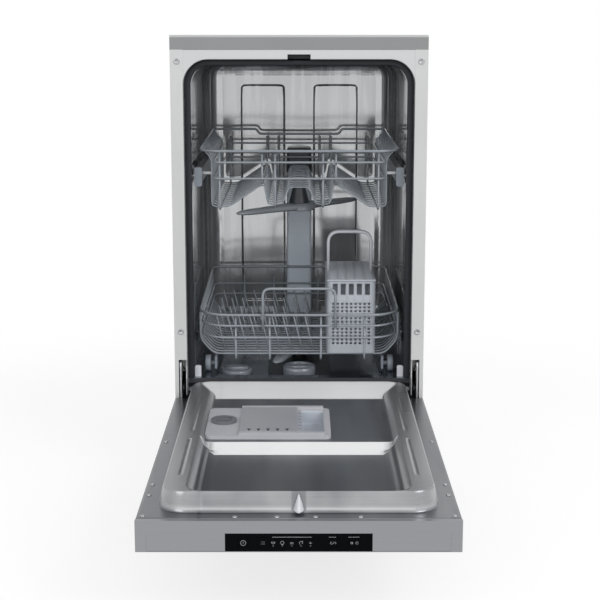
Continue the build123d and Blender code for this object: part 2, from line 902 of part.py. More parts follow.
with BuildPart() as drain_outlet:
    outlet_back = port_face - outlet_length
    block(
        (outlet_offset - valve_width / 2, outlet_offset + valve_width / 2),
        (outlet_back - valve_length, outlet_back),
        (base_floor, valve_height + valve_width / 2),
    )
    fillet(drain_outlet.edges().filter_by(Axis.Z), sump_wall)
    outlet_run = (outlet_offset, outlet_back, valve_height), (outlet_offset, port_face, valve_height)
    rod(*outlet_run, outlet_radius)
    rod(*outlet_run, outlet_radius - outlet_wall, Mode.SUBTRACT)

with BuildPart() as mains_gland:
    rod((0, base_back - gland_length, gland_height), (0, base_back, gland_height), gland_radius)
    gland_start = (0, base_back - gland_length, gland_height)
    flat_sided(gland_start, (0, base_back - base_wall, gland_height), gland_flange_radius)
    rod((0, base_back - gland_length, gland_height), (0, base_back, gland_height), gland_bore, Mode.SUBTRACT)

with BuildPart() as air_break_chamber:
    with BuildSketch(Plane.YZ.offset(-inside_half)):
        air_break_y = front + air_break_front + air_break_length / 2
        with Locations((air_break_y, air_break_bottom + air_break_height / 2)):
            RectangleRounded(air_break_length, air_break_height, air_break_corner)
    extrude(amount=inside_half - cavity_half - sheet - clearance)

# Door shell
liner_near, liner_far = opened(liner_head), opened(liner_foot)
door_half = half_width - door_side_gap
tail_half = door_tail_width / 2
door_step = front - door_tail_gap
tail_end = opened(door_bottom)
shell_start = door_end + fascia_depth
arm_outer = arm_inner + arm_plate


def door_plan(height, inset):
    """The door's plan: full width in front of the cabinet, narrow where it swings in under the tub."""
    with BuildSketch(Plane.XY.offset(height)) as outline:
        low, high = shell_start + inset, door_step - inset
        with Locations((0, (low + high) / 2)):
            Rectangle(2 * (door_half - inset), high - low)
        high = tail_end - inset
        with Locations((0, (low + high) / 2)):
            Rectangle(2 * (tail_half - inset), high - low)
    return outline.sketch


def raised_outline(height, inset):
    """The liner's raised part in plan."""
    with BuildSketch(Plane.XY.offset(height)) as outline:
        with Locations((0, (liner_near + liner_far) / 2)):
            length = liner_far - liner_near - 2 * inset
            RectangleRounded(liner_width - 2 * inset, length, liner_corner - inset)
    return outline.sketch


def plan_rectangle(height, half, near, far, corner):
    """A rectangle with cut corners on a level plane, between two depths."""
    with BuildSketch(Plane.XY.offset(height)) as outline:
        with Locations((0, (near + far) / 2)):
            plate = Rectangle(2 * half, far - near)
        chamfer(plate.vertices(), corner)
    return outline.sketch


def dished(grow):
    """Sections of the liner's two pressed levels, top and bottom, grown and lowered by one sheet."""
    half = dish_width / 2 + grow
    near, far = liner_near + dish_margin - grow, liner_far - dish_margin + grow
    low_far = far - dish_ramp
    dish = [
        plan_rectangle(track_z - grow, half, near, far, dish_corner),
        plan_rectangle(dish_z - grow, half - dish_slope, near + basin_margin, low_far, dish_corner),
    ]
    basin_half = half - dish_slope - basin_margin
    basin_near, basin_far = near + 2 * basin_margin, front - basin_start + grow
    basin = [
        plan_rectangle(dish_z - grow, basin_half, basin_near, basin_far, dish_corner),
        plan_rectangle(
            basin_z - grow,
            basin_half - basin_slope,
            basin_near + basin_slope,
            basin_far - basin_slope,
            dish_corner - basin_slope,
        ),
    ]
    return dish, basin


dispenser_right = dispenser_left + dispenser_width
dispenser_far_y = front - dispenser_near
dispenser_near_y = dispenser_far_y - dispenser_length
dispenser_middle = ((dispenser_left + dispenser_right) / 2, (dispenser_near_y + dispenser_far_y) / 2)

with BuildPart() as liner_core:
    extrude(raised_outline(flange_z - sheet, sheet), amount=liner_rise)
    chamfer(liner_core.edges().group_by(Axis.Z)[-1], liner_edge - sheet / 2)
    for sections in dished(sheet):
        loft(sections, ruled=True, mode=Mode.SUBTRACT)

with BuildPart() as door_liner:
    extrude(raised_outline(flange_z - sheet, 0), amount=liner_rise + sheet)
    chamfer(door_liner.edges().group_by(Axis.Z)[-1], liner_edge)
    extrude(door_plan(flange_z - sheet, 0), amount=sheet)
    for sections in dished(0):
        loft(sections, ruled=True, mode=Mode.SUBTRACT)
    add(liner_core.part, mode=Mode.SUBTRACT)
    hole_width = dispenser_width - 2 * dispenser_flange + 2 * clearance
    hole_length = dispenser_length - 2 * dispenser_flange + 2 * clearance
    with Locations((*dispenser_middle, dish_z)):
        Box(hole_width, hole_length, dish_depth, mode=Mode.SUBTRACT)

with BuildPart() as door_outer:
    extrude(door_plan(door_under, 0), amount=door_thickness - sheet)
    extrude(door_plan(door_under + sheet, sheet), amount=door_thickness, mode=Mode.SUBTRACT)
    block(
        (-door_half + sheet, door_half - sheet),
        (shell_start, shell_start + sheet),
        (door_under + sheet, flange_z),
        mode=Mode.SUBTRACT,
    )
    for side in (-1, 1):
        slot_x = sorted((side * (arm_inner - cheek_gap), side * (arm_outer + cheek_gap)))
        block(slot_x, (door_step - 2 * sheet, door_step), (door_under + sheet, flange_z), Mode.SUBTRACT)
    with Locations((0, front - panel_hole_depth - panel_hole_spacing_y / 2, door_under)):
        with GridLocations(panel_hole_spacing_x, panel_hole_spacing_y, 2, 2):
            Cylinder(panel_hole_radius, 4 * sheet, mode=Mode.SUBTRACT)

with BuildPart() as door_striker:
    striker_z = flange_z + striker_lift + striker_height / 2
    with BuildSketch(upright(liner_near)):
        with Locations((0, striker_z)):
            Rectangle(striker_width, striker_height)
    with BuildSketch(upright(liner_near - striker_reach)):
        with Locations((0, striker_z)):
            Rectangle(striker_width - 2 * striker_taper, striker_height - 2 * striker_taper)
    loft(ruled=True)

# Control fascia on the door's top edge, with its window, keys and board
strip_low = door_under + strip_margin
strip_middle = strip_low + strip_height / 2
board_front = door_end + board_setback

with BuildPart() as control_fascia:
    block((-half_width, half_width), (door_end, shell_start), (door_under, flange_z))
    block(
        (-half_width + fascia_wall, half_width - fascia_wall),
        (door_end + fascia_wall + strip_recess, shell_start),
        (door_under + fascia_wall, flange_z - fascia_wall),
        mode=Mode.SUBTRACT,
    )
    block(
        (-strip_width / 2, strip_width / 2),
        (door_end, door_end + strip_recess),
        (strip_low, strip_low + strip_height),
        mode=Mode.SUBTRACT,
    )
    block(
        (-window_width / 2, window_width / 2),
        (door_end, shell_start),
        (strip_low, strip_low + strip_height),
        mode=Mode.SUBTRACT,
    )
    for side in (-1, 1):
        boss_x = side * (board_width / 2 - 2 * fascia_wall)
        boss_start = (boss_x, door_end + fascia_wall, strip_middle)
        flat_sided(boss_start, (boss_x, board_front, strip_middle), 2 * fascia_wall, flats=8)

with BuildPart() as control_window:
    window_front = door_end + strip_recess
    block(
        (-window_width / 2 + clearance, window_width / 2 - clearance),
        (window_front, window_front + window_thickness),
        (strip_low + clearance, strip_low + strip_height - clearance),
    )
    for key_x in key_places.values():
        key_hole = key_size / 2 + clearance
        block(
            (key_x - key_hole, key_x + key_hole),
            (window_front, window_front + window_thickness),
            (strip_middle - key_hole, strip_middle + key_hole),
            mode=Mode.SUBTRACT,
        )

key_parts = {}
for key_name, key_x in key_places.items():
    with BuildPart() as key:
        block(
            (key_x - key_size / 2, key_x + key_size / 2),
            (window_front, window_front + key_thickness),
            (strip_middle - key_size / 2, strip_middle + key_size / 2),
        )
        fillet(key.edges().filter_by(Axis.Y), key_thickness)
        block(
            (key_x - key_stem / 2, key_x + key_stem / 2),
            (window_front + key_thickness, window_front + key_thickness + key_stem_length),
            (strip_middle - key_stem / 2, strip_middle + key_stem / 2),
        )
    key_parts[key_name] = key.part

with BuildPart() as control_board:
    block(
        (-board_width / 2, board_width / 2),
        (board_front, board_front + board_thickness),
        (door_under + fascia_wall, door_under + fascia_wall + board_height),
    )

# Detergent and rinse-aid dispenser
dispenser_top = dish_z + dispenser_rise
guide_top = dispenser_top + guide_rise
cap_y = dispenser_middle[1]

with BuildPart() as dispenser_body:
    with BuildSketch(Plane.XY.offset(dish_z)):
        with Locations(dispenser_middle):
            RectangleRounded(dispenser_width, dispenser_length, dispenser_corner)
    extrude(amount=dispenser_rise)
    with Locations((*dispenser_middle, dish_z - dispenser_body_depth / 2)):
        sunk_width = dispenser_width - 2 * dispenser_flange
        sunk_length = dispenser_length - 2 * dispenser_flange
        Box(sunk_width, sunk_length, dispenser_body_depth)
    for guide_low in (dispenser_near_y, dispenser_far_y - guide_width):
        block(
            (lid_left, dispenser_right - dispenser_corner),
            (guide_low, guide_low + guide_width),
            (dispenser_top, guide_top),
        )
    block(
        (chamber_left, chamber_left + chamber_width),
        (dispenser_near_y + tablet_margin, dispenser_far_y - tablet_margin),
        (dispenser_top - chamber_depth, dispenser_top),
        mode=Mode.SUBTRACT,
    )
    block(
        (tablet_left, tablet_left + tablet_width),
        (dispenser_near_y + tablet_margin, dispenser_far_y - tablet_margin),
        (dispenser_top - chamber_depth, dispenser_top),
        mode=Mode.SUBTRACT,
    )

with BuildPart() as detergent_lid:
    lid_bottom = dispenser_top + clearance
    lid_low = dispenser_near_y + guide_width + clearance
    lid_high = dispenser_far_y - guide_width - clearance
    block((lid_left, lid_left + lid_width), (lid_low, lid_high), (lid_bottom, lid_bottom + lid_thickness))
    chamfer(detergent_lid.edges().group_by(Axis.Z)[-1], lid_thickness / 3)

with BuildPart() as rinse_aid_cap:
    cap_z = dispenser_top + clearance
    rod((cap_offset, cap_y, cap_z), (cap_offset, cap_y, cap_z + cap_thickness), cap_radius)
    with BuildSketch(Plane.XY.offset(cap_z + cap_thickness)):
        with Locations((cap_offset, cap_y)):
            Circle(cap_radius - 2 * cap_grip)
            Rectangle(2 * cap_radius, 2 * cap_grip, mode=Mode.SUBTRACT)
    extrude(amount=-cap_grip, mode=Mode.SUBTRACT)

# Hinge arms on the door, brackets on the base, springs between them
pivot_y = front + hinge_depth
arm_leg_top = flange_z - sheet

with BuildPart() as hinge_arms:
    with BuildSketch(Plane.YZ.offset(arm_inner)):
        leg_end = pivot_y + arm_tail_width / 2
        with Locations((leg_end - arm_leg_length / 2, arm_leg_top - arm_leg_height / 2)):
            Rectangle(arm_leg_length, arm_leg_height)
        tail_foot, tail_head = arm_leg_top - arm_leg_height, arm_tail_top - arm_tail_width / 2
        with Locations((pivot_y, (tail_foot + tail_head) / 2)):
            Rectangle(arm_tail_width, tail_head - tail_foot)
        with Locations((pivot_y, tail_head)):
            Circle(arm_tail_width / 2)
        with Locations((pivot_y, hinge_height)):
            Circle(hinge_pin_radius + fit, mode=Mode.SUBTRACT)
    extrude(amount=arm_plate)
    mirror(about=Plane.YZ)

cheek_inner = arm_inner - cheek_gap - cheek
cheek_outer = arm_outer + cheek_gap + cheek

with BuildPart() as hinge_brackets:
    with BuildSketch(Plane.YZ.offset(cheek_inner)):
        with Locations((pivot_y, hinge_height)):
            Circle(cheek_radius)
        with BuildLine():
            post_front, post_back = front + bracket_post, front + bracket_post + bracket_post_width
            Polyline(
                (pivot_y, hinge_height + cheek_radius),
                (post_back, hinge_height + cheek_radius),
                (post_back, base_floor),
                (post_front, base_floor),
                (post_front, hinge_height - cheek_radius),
                (pivot_y, hinge_height - cheek_radius),
                close=True,
            )
        make_face()
    extrude(amount=cheek_outer - cheek_inner)
    block(
        (arm_inner - cheek_gap, arm_outer + cheek_gap),
        (pivot_y - cheek_radius, post_back - cheek),
        (base_floor, hinge_height + cheek_radius),
        mode=Mode.SUBTRACT,
    )
    rod((cheek_inner, pivot_y, hinge_height), (cheek_outer, pivot_y, hinge_height), hinge_pin_radius)
    mirror(about=Plane.YZ)

with BuildPart() as door_springs:
    spring_x = arm_inner + arm_plate / 2
    hook = Vector(spring_x, leg_end + spring_rod_radius, spring_start_height)
    anchor_point = Vector(spring_x, front + spring_anchor_depth - spring_rod_radius, spring_anchor_height)
    body_low = hook + (anchor_point - hook) * spring_body_start
    body_high = hook + (anchor_point - hook) * spring_body_end
    flat_sided(tuple(hook), tuple(anchor_point), spring_rod_radius, flats=8)
    flat_sided(tuple(body_low), tuple(body_high), spring_radius, flats=8)
    mirror(about=Plane.YZ)

# Upper basket on its rails and rollers
inner_half = upper_half - wire - wire_gap
riser_front = front + upper_front + wire + wire_gap
riser_back = front + upper_back - wire - wire_gap
hoop_first = riser_front + 3 * wire
hoop_step = (riser_back - 3 * wire - hoop_first) / (upper_hoops - 1)
roller_radius = rail_gap / 2 - clearance
rail_edge = rail_web + rail_flange
roller_high = rail_edge - sheet
roller_low = roller_high - roller_width
rail_low = rail_height - rail_gap / 2

with BuildPart() as roller_brackets:
    for depth in (roller_front_depth, roller_rear_depth):
        place = front + depth
        half_plate = roller_plate_size / 2
        block(
            (cavity_half - roller_plate, cavity_half),
            (place - half_plate, place + half_plate),
            (rail_height - half_plate, rail_height + half_plate),
        )
        axle_end = cavity_half - roller_plate
        rod((roller_low - sheet, place, rail_height), (axle_end, place, rail_height), roller_axle_radius)
    mirror(about=Plane.YZ)


def roller_pair(depth):
    """The left and right rail rollers at one depth, bored for their axles."""
    with BuildPart() as pair:
        start, end = (roller_low, front + depth, rail_height), (roller_high, front + depth, rail_height)
        rod(start, end, roller_radius)
        rod(start, end, roller_axle_radius + fit, Mode.SUBTRACT)
        mirror(about=Plane.YZ)
    return pair.part


rollers_front = roller_pair(roller_front_depth)
rollers_rear = roller_pair(roller_rear_depth)

with BuildPart() as upper_rails:
    rail_y = (front + upper_front + cap_depth, front + rail_rear)
    block((rail_web, rail_edge), rail_y, (rail_low - rail_sheet, rail_low + rail_gap + rail_sheet))
    block((rail_web + rail_sheet, rail_edge), rail_y, (rail_low, rail_low + rail_gap), Mode.SUBTRACT)
    for hoop in clip_hoops:
        clip_y = hoop_first + hoop * hoop_step
        block(
            (upper_half + wire / 2 + wire_gap, rail_web),
            (clip_y - cap_depth, clip_y + cap_depth),
            (rail_height - rail_sheet * 2, rail_height + rail_sheet * 2),
        )
    mirror(about=Plane.YZ)

with BuildPart() as rail_end_caps:
    block(
        (rail_web - cap_overhang, rail_edge),
        (front + upper_front, front + upper_front + cap_depth),
        (rail_height - cap_height / 2, rail_height + cap_height / 2),
    )
    fillet(rail_end_caps.edges().filter_by(Axis.Y), cap_overhang * 2)
    mirror(about=Plane.YZ)

flare_length = (upper_flare**2 + upper_flare_rise**2) ** 0.5
flare_stop = 1 - (rim_wire / 2 + wire_gap) / flare_length
upper_rim_half = upper_half + upper_flare
upper_side_rim = upper_rim + upper_rim_rise
flare_foot = upper_side_rim - upper_flare_rise
hoop_half = [
    (upper_half + upper_flare * flare_stop, flare_foot + upper_flare_rise * flare_stop),
    (upper_half, flare_foot),
    (upper_half, upper_floor),
    (upper_half - upper_floor_flat, upper_floor),
    (ridge_outer, upper_ridge),
    (ridge_inner, upper_ridge),
    (trough_outer, upper_trough),
    (trough_inner, upper_trough),
    (centre_half, upper_centre),
]
hoop_profile = [(-x, z) for x, z in hoop_half] + [(x, z) for x, z in reversed(hoop_half)]
runner_drop = wire + wire_gap
runner_places = [
    (upper_half - floor_runner, upper_floor - runner_drop),
    (ridge_runner, upper_ridge + runner_drop),
    (trough_runner, upper_trough - runner_drop),
]

upper_wires = [
    bent_wire(
        plan_loop(upper_front, upper_back, upper_rim_half, upper_flare + wire, upper_rim, upper_side_rim),
        rim_wire,
        close=True,
    ),
]
for level in (upper_middle_rim, upper_low_rim):
    upper_wires.append(
        bent_wire(plan_loop(upper_front, upper_back, inner_half, wire * 2, level, level), wire, close=True)
    )
for hoop in range(upper_hoops):
    depth = hoop_first + hoop * hoop_step
    upper_wires.append(bent_wire([(x, depth, z) for x, z in hoop_profile], wire, flats=6))
for side in (-1, 1):
    for runner_x, low in runner_places:
        top = upper_rim - rim_wire
        upper_wires.append(
            bent_wire(
                [
                    (side * runner_x, riser_front, top),
                    (side * runner_x, riser_front, low),
                    (side * runner_x, riser_back, low),
                    (side * runner_x, riser_back, top),
                ],
                wire,
            )
        )

with BuildPart() as upper_basket:
    add(upper_wires)

# Feed pipe under the upper basket, docked at the back, and the arm below it
feed_back = front + cavity_depth - 2 * clearance - duct_thickness - dock_ring
feed_front = feed_back - feed_elbow_depth
upper_arm_top = upper_arm_height + arm_thickness

with BuildPart() as feed_pipe:
    elbow_low, elbow_high = feed_height - feed_elbow_margin, dock_height + dock_radius
    block((-feed_elbow_width / 2, feed_elbow_width / 2), (feed_front, feed_back), (elbow_low, elbow_high))
    fillet(feed_pipe.edges().filter_by(Axis.Y), duct_corner)
    rod((0, feed_front, feed_height), (0, arm_y, feed_height), feed_radius)
    with BuildSketch(upright(feed_back)):
        with Locations((0, dock_height)):
            Circle(dock_bore)
    extrude(amount=feed_elbow_depth / 2, mode=Mode.SUBTRACT)
    for hoop in hanger_hoops:
        hanger_y = hoop_first + hoop * hoop_step
        block(
            (-feed_radius / 2, feed_radius / 2),
            (hanger_y - wire, hanger_y + wire),
            (feed_height, upper_centre - wire / 2 - wire_gap),
        )
    hub_bottom = upper_arm_top + clearance
    with Locations((0, arm_y, hub_bottom)):
        Cone(
            arm_hub_radius - arm_edge,
            feed_radius,
            feed_height - hub_bottom,
            align=(Align.CENTER, Align.CENTER, Align.MIN),
        )
    rod((0, arm_y, feed_height), (0, arm_y, feed_height + feed_radius), feed_radius)
    rod((0, arm_y, upper_arm_height), (0, arm_y, hub_bottom), arm_shaft_radius)


def spray_arm(bottom, reach, angle):
    """A tapered two-bladed arm bored for its shaft, with a row of slanted jets on each blade."""
    along = (cos(radians(angle)), sin(radians(angle)), 0)
    turned = Plane(origin=(0, arm_y, bottom), x_dir=along, z_dir=(0, 0, 1))
    with BuildPart() as arm:
        with BuildSketch(turned):
            Circle(arm_hub_radius)
            with Locations((-reach, 0), (reach, 0)):
                Circle(arm_tip_radius)
            make_hull()
        extrude(amount=arm_thickness)
        chamfer(arm.edges().group_by(Axis.Z)[-1], arm_edge)
        with BuildSketch(turned.offset(arm_thickness)):
            with GridLocations(2 * reach / jet_count, 1, jet_count, 1):
                Rectangle(jet_length, jet_width, rotation=jet_turn)
        extrude(amount=-jet_deep, mode=Mode.SUBTRACT)
        with BuildSketch(turned):
            Circle(arm_shaft_radius + fit)
        extrude(amount=arm_thickness, mode=Mode.SUBTRACT)
    return arm.part


upper_spray_arm = spray_arm(upper_arm_height, upper_arm_reach, upper_arm_angle)
lower_spray_arm = spray_arm(lower_arm_height, lower_arm_reach, -180 + lower_arm_angle)

# Lower basket
rim_back_z = lower_rim + lower_rim_rise
loop_half = lower_half - wire - wire_gap
loop_corner = lower_corner - wire
lower_riser_front = front + lower_front + rim_wire / 2 + wire / 2 + wire_gap
lower_riser_back = front + lower_back - rim_wire / 2 - wire / 2 - wire_gap
runner_z = lower_floor - wire - wire_gap


def rim_level(depth):
    """Height of the lower basket's rim at a depth: level round the front, rising to the back."""
    start = lower_front + lower_corner
    return lower_rim + lower_rim_rise * (depth - start) / (lower_back - start)


lower_wires = [
    bent_wire(
        plan_loop(lower_front, lower_back, lower_half, lower_corner, lower_rim, rim_back_z),
        rim_wire,
        close=True,
    ),
]
for level in (lower_middle_rim, lower_low_rim):
    lower_wires.append(
        bent_wire(plan_loop(lower_front, lower_back, loop_half, loop_corner, level, level), wire, close=True)
    )
for hoop in range(lower_hoops):
    depth = lower_hoop_start + hoop * lower_hoop_pitch
    top = rim_level(depth) - rim_wire / 2 - wire_gap
    shoulder = lower_floor + lower_shoulder
    flat = lower_half - lower_shoulder_width
    half = [(lower_half, top), (lower_half, shoulder), (flat, lower_floor)]
    profile = [(-x, z) for x, z in half] + [(x, z) for x, z in reversed(half)]
    lower_wires.append(bent_wire([(x, front + depth, z) for x, z in profile], wire))
for runner_x in lower_runners:
    top = lower_rim - rim_wire / 2 - wire_gap
    lower_wires.append(
        bent_wire(
            [
                (runner_x, lower_riser_front, top),
                (runner_x, lower_riser_front, runner_z),
                (runner_x, lower_riser_back, runner_z),
                (runner_x, lower_riser_back, top),
            ],
            wire,
        )
    )
handle_y = front + lower_front - rim_wire - wire_gap
handle_foot = lower_middle_rim - wire
handle_points = [
    (-handle_half, handle_foot),
    (-handle_half, handle_top - handle_corner),
    (-handle_half + handle_corner, handle_top),
    (handle_half - handle_corner, handle_top),
    (handle_half, handle_top - handle_corner),
    (handle_half, handle_foot),
]
lower_wires.append(bent_wire([(x, handle_y, z) for x, z in handle_points], rim_wire))

with BuildPart() as lower_basket:
    add(lower_wires)

tine_base = lower_floor + wire / 2
lean_x, lean_z = -tine_height * sin(radians(tine_lean)), tine_height * cos(radians(tine_lean))
tine_wires = []
for row in tine_rows:
    row_y = front + row
    row_end = tine_start + (tine_count - 1) * tine_pitch
    row_run = [(tine_start - tine_pitch, row_y, lower_floor), (row_end + tine_pitch / 2, row_y, lower_floor)]
    tine_wires.append(bent_wire(row_run, wire))
    for tine in range(tine_count):
        foot_x = tine_start + tine * tine_pitch
        foot = (foot_x, row_y, tine_base + wire_gap)
        tine_wires.append(bent_wire([foot, (foot_x + lean_x, row_y, tine_base + lean_z)], thin_wire, flats=6))

with BuildPart() as plate_tines:
    add(tine_wires)

axle_z = track_z + clearance + wheel_radius
carrier_outer = carrier_inner + carrier_thickness

with BuildPart() as wheel_carriers:
    for hoop in wheel_hoops:
        place = front + lower_hoop_start + hoop * lower_hoop_pitch
        block(
            (carrier_inner, carrier_outer),
            (place - carrier_length / 2, place + carrier_length / 2),
            (axle_z - 2 * wheel_axle_radius, lower_floor - wire / 2 - wire_gap),
        )
        axle_end = wheel_inner + wheel_width + sheet
        rod((carrier_outer, place, axle_z), (axle_end, place, axle_z), wheel_axle_radius)
    mirror(about=Plane.YZ)


def wheel_pair(hoop):
    """The left and right wheels under one hoop, bored for their axles."""
    place = front + lower_hoop_start + hoop * lower_hoop_pitch
    with BuildPart() as pair:
        start = (wheel_inner, place, axle_z)
        end = (wheel_inner + wheel_width, place, axle_z)
        rod(start, end, wheel_radius)
        rod(start, end, wheel_axle_radius + fit, Mode.SUBTRACT)
        mirror(about=Plane.YZ)
    return pair.part


wheels_front = wheel_pair(wheel_hoops[0])
wheels_rear = wheel_pair(wheel_hoops[1])

# Cutlery basket with its slotted lid and bail
cutlery_x = cutlery_left + cutlery_width / 2
cutlery_y = front + cutlery_front + cutlery_length / 2
cutlery_floor = lower_floor + wire / 2 + clearance
cutlery_top = cutlery_floor + cutlery_height
slot_z = cutlery_floor + cutlery_band + cutlery_slot_height / 2
window_z = cutlery_top - cutlery_band / 2 - cutlery_window / 2
columns = int((cutlery_width - 2 * cutlery_corner) / cutlery_slot_pitch)
rows = int((cutlery_length - 2 * cutlery_corner) / cutlery_slot_pitch)

with BuildPart() as cutlery_basket:
    with BuildSketch(Plane.XY.offset(cutlery_floor)):
        with Locations((cutlery_x, cutlery_y)):
            RectangleRounded(cutlery_width, cutlery_length, cutlery_corner)
    extrude(amount=cutlery_height)
    with BuildSketch(Plane.XY.offset(cutlery_floor + cutlery_wall)):
        with Locations((cutlery_x, cutlery_y)):
            inner_width, inner_length = cutlery_width - 2 * cutlery_wall, cutlery_length - 2 * cutlery_wall
            RectangleRounded(inner_width, inner_length, cutlery_corner - cutlery_wall)
    extrude(amount=cutlery_height, mode=Mode.SUBTRACT)
    with BuildSketch(upright(cutlery_y)):
        with Locations((cutlery_x, slot_z)):
            with GridLocations(cutlery_slot_pitch, 1, columns, 1):
                Rectangle(cutlery_slot, cutlery_slot_height)
        with Locations((cutlery_x, window_z)):
            with GridLocations(cutlery_slot_pitch, 1, columns, 1):
                Rectangle(cutlery_window, cutlery_window)
    extrude(amount=cutlery_length, both=True, mode=Mode.SUBTRACT)
    with BuildSketch(Plane.YZ.offset(cutlery_x)):
        with Locations((cutlery_y, slot_z)):
            with GridLocations(cutlery_slot_pitch, 1, rows, 1):
                Rectangle(cutlery_slot, cutlery_slot_height)
    extrude(amount=cutlery_width, both=True, mode=Mode.SUBTRACT)
    for share in (1 / 3, 2 / 3):
        divider_y = front + cutlery_front + cutlery_length * share
        block(
            (cutlery_left + cutlery_wall, cutlery_left + cutlery_width - cutlery_wall),
            (divider_y - cutlery_wall / 2, divider_y + cutlery_wall / 2),
            (cutlery_floor, cutlery_top - cutlery_band),
        )

with BuildPart() as cutlery_lid:
    lid_z = cutlery_top
    with BuildSketch(Plane.XY.offset(lid_z)):
        with Locations((cutlery_x, cutlery_y)):
            RectangleRounded(cutlery_width, cutlery_length, cutlery_corner)
            with GridLocations(lid_hole_pitch, lid_hole_pitch, lid_columns, lid_rows):
                Rectangle(cutlery_window, cutlery_window, mode=Mode.SUBTRACT)
    extrude(amount=cutlery_lid_thickness)
    bail_half = (cutlery_width - cutlery_wall) / 2
    bail_foot = lid_z + cutlery_lid_thickness
    bail_plane = Plane(origin=(cutlery_x, cutlery_y + bail_width / 2, 0), x_dir=(1, 0, 0), z_dir=(0, -1, 0))
    with BuildSketch(bail_plane):
        with BuildLine():
            Line((-bail_half, bail_foot), (bail_half, bail_foot))
            FilletPolyline(
                (bail_half, bail_foot),
                (bail_half, bail_foot + bail_height),
                (-bail_half, bail_foot + bail_height),
                (-bail_half, bail_foot),
                radius=bail_corner,
            )
        make_face()
        with BuildLine():
            inner_bail = bail_half - bail_thickness
            Line((-inner_bail, bail_foot), (inner_bail, bail_foot))
            FilletPolyline(
                (inner_bail, bail_foot),
                (inner_bail, bail_foot + bail_height - bail_thickness),
                (-inner_bail, bail_foot + bail_height - bail_thickness),
                (-inner_bail, bail_foot),
                radius=bail_corner - bail_thickness,
            )
        make_face(mode=Mode.SUBTRACT)
    extrude(amount=bail_width)

# Every piece, named as it is written
pieces = {
    "side_panel_left": side_panel_left.part,
    "side_panel_right": side_panel_right.part,
    "rear_panel": rear_panel.part,
    "top_cover": top_cover.part,
    "top_front_rail": top_front_rail.part,
    "base_tray": base_tray.part,
    "kick_plate": kick_plate.part,
    "levelling_feet": levelling_feet.part,
    "tub_wrapper": tub_wrapper.part,
    "strip_screws": strip_screws.part,
    "tub_back": tub_back.part,
    "tub_floor": tub_floor.part,
    "tub_gasket": tub_gasket.part,
    "sill_seal": sill_seal.part,
    "seal_end_blocks": seal_end_blocks.part,
    "latch_housing": latch_housing.part,
    "water_duct": water_duct.part,
    "sump": sump.part,
    "filter_plate": filter_plate.part,
    "coarse_filter": coarse_filter.part,
    "salt_cap": salt_cap.part,
    "water_softener": water_softener.part,
    "circulation_pump": circulation_pump.part,
    "drain_pump": drain_pump.part,
    "inlet_valve": inlet_valve.part,
    "drain_outlet": drain_outlet.part,
    "mains_gland": mains_gland.part,
    "air_break_chamber": air_break_chamber.part,
    "hinge_brackets": hinge_brackets.part,
    "door_springs": door_springs.part,
    "roller_brackets": roller_brackets.part,
    "rollers_front": rollers_front,
    "rollers_rear": rollers_rear,
    "lower_spray_arm": lower_spray_arm,
    "door_liner": door_liner.part,
    "door_outer": door_outer.part,
    "door_striker": door_striker.part,
    "hinge_arms": hinge_arms.part,
    "control_fascia": control_fascia.part,
    "control_window": control_window.part,
    "control_board": control_board.part,
    "dispenser_body": dispenser_body.part,
    "detergent_lid": detergent_lid.part,
    "rinse_aid_cap": rinse_aid_cap.part,
    "upper_basket": upper_basket.part,
    "upper_rails": upper_rails.part,
    "rail_end_caps": rail_end_caps.part,
    "feed_pipe": feed_pipe.part,
    "upper_spray_arm": upper_spray_arm,
    "lower_basket": lower_basket.part,
    "plate_tines": plate_tines.part,
    "wheel_carriers": wheel_carriers.part,
    "wheels_front": wheels_front,
    "wheels_rear": wheels_rear,
    "cutlery_basket": cutlery_basket.part,
    "cutlery_lid": cutlery_lid.part,
    **key_parts,
}

os.makedirs("parts", exist_ok=True)
for name, piece in pieces.items():
    piece.label = name
    export_step(piece, f"parts/{name}.step")
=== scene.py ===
# %% [markdown]
# # A slim built-in dishwasher with its door open
# The machine's solids come from the CAD frame and stay where they are. This lesson dresses them: pressed
# steel sheets, bent wire racks, moulded arms, screws and small marks are worked out as surfaces with numpy,
# and every finish is a short piece of shader maths. Each step says what the real piece is, how it could be
# made, and why it is made this way.

import bpy
import numpy as np
from mathutils import Euler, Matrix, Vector


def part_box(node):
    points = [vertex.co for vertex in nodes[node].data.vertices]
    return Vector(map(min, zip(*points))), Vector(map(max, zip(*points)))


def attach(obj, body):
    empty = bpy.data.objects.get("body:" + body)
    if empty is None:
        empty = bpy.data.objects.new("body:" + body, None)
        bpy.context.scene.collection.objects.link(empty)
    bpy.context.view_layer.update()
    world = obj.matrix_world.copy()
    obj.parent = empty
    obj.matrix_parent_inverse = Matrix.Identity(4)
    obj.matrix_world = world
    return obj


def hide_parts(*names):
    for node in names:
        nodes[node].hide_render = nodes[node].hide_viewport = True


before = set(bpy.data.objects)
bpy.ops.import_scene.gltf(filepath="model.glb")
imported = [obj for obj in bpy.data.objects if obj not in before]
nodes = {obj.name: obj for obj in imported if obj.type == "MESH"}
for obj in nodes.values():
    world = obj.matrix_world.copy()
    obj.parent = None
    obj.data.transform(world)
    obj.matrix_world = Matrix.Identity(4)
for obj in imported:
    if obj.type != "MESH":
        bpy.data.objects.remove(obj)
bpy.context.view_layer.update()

# %% [markdown]
# ## One way of measuring
# A maker measures a dishwasher from its front plane. So every surface here is written in millimetres as
# (across, depth behind the front plane, height), and one function turns that into the frame's metres.

# %% Millimetres from the front plane
front_plane = 1000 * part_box("top_front_rail")[0].y


def to_frame(points):
    """Metres in the shared frame from (across, depth, height) in mm: add the front plane, divide by 1000."""
    return (np.asarray(points, float) + (0, front_plane, 0)) * 0.001


def extent(node):
    """Lowest and highest (across, depth, height) of a CAD node in millimetres from the front plane."""
    return [np.array(corner) * 1000 - (0, front_plane, 0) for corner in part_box(node)]


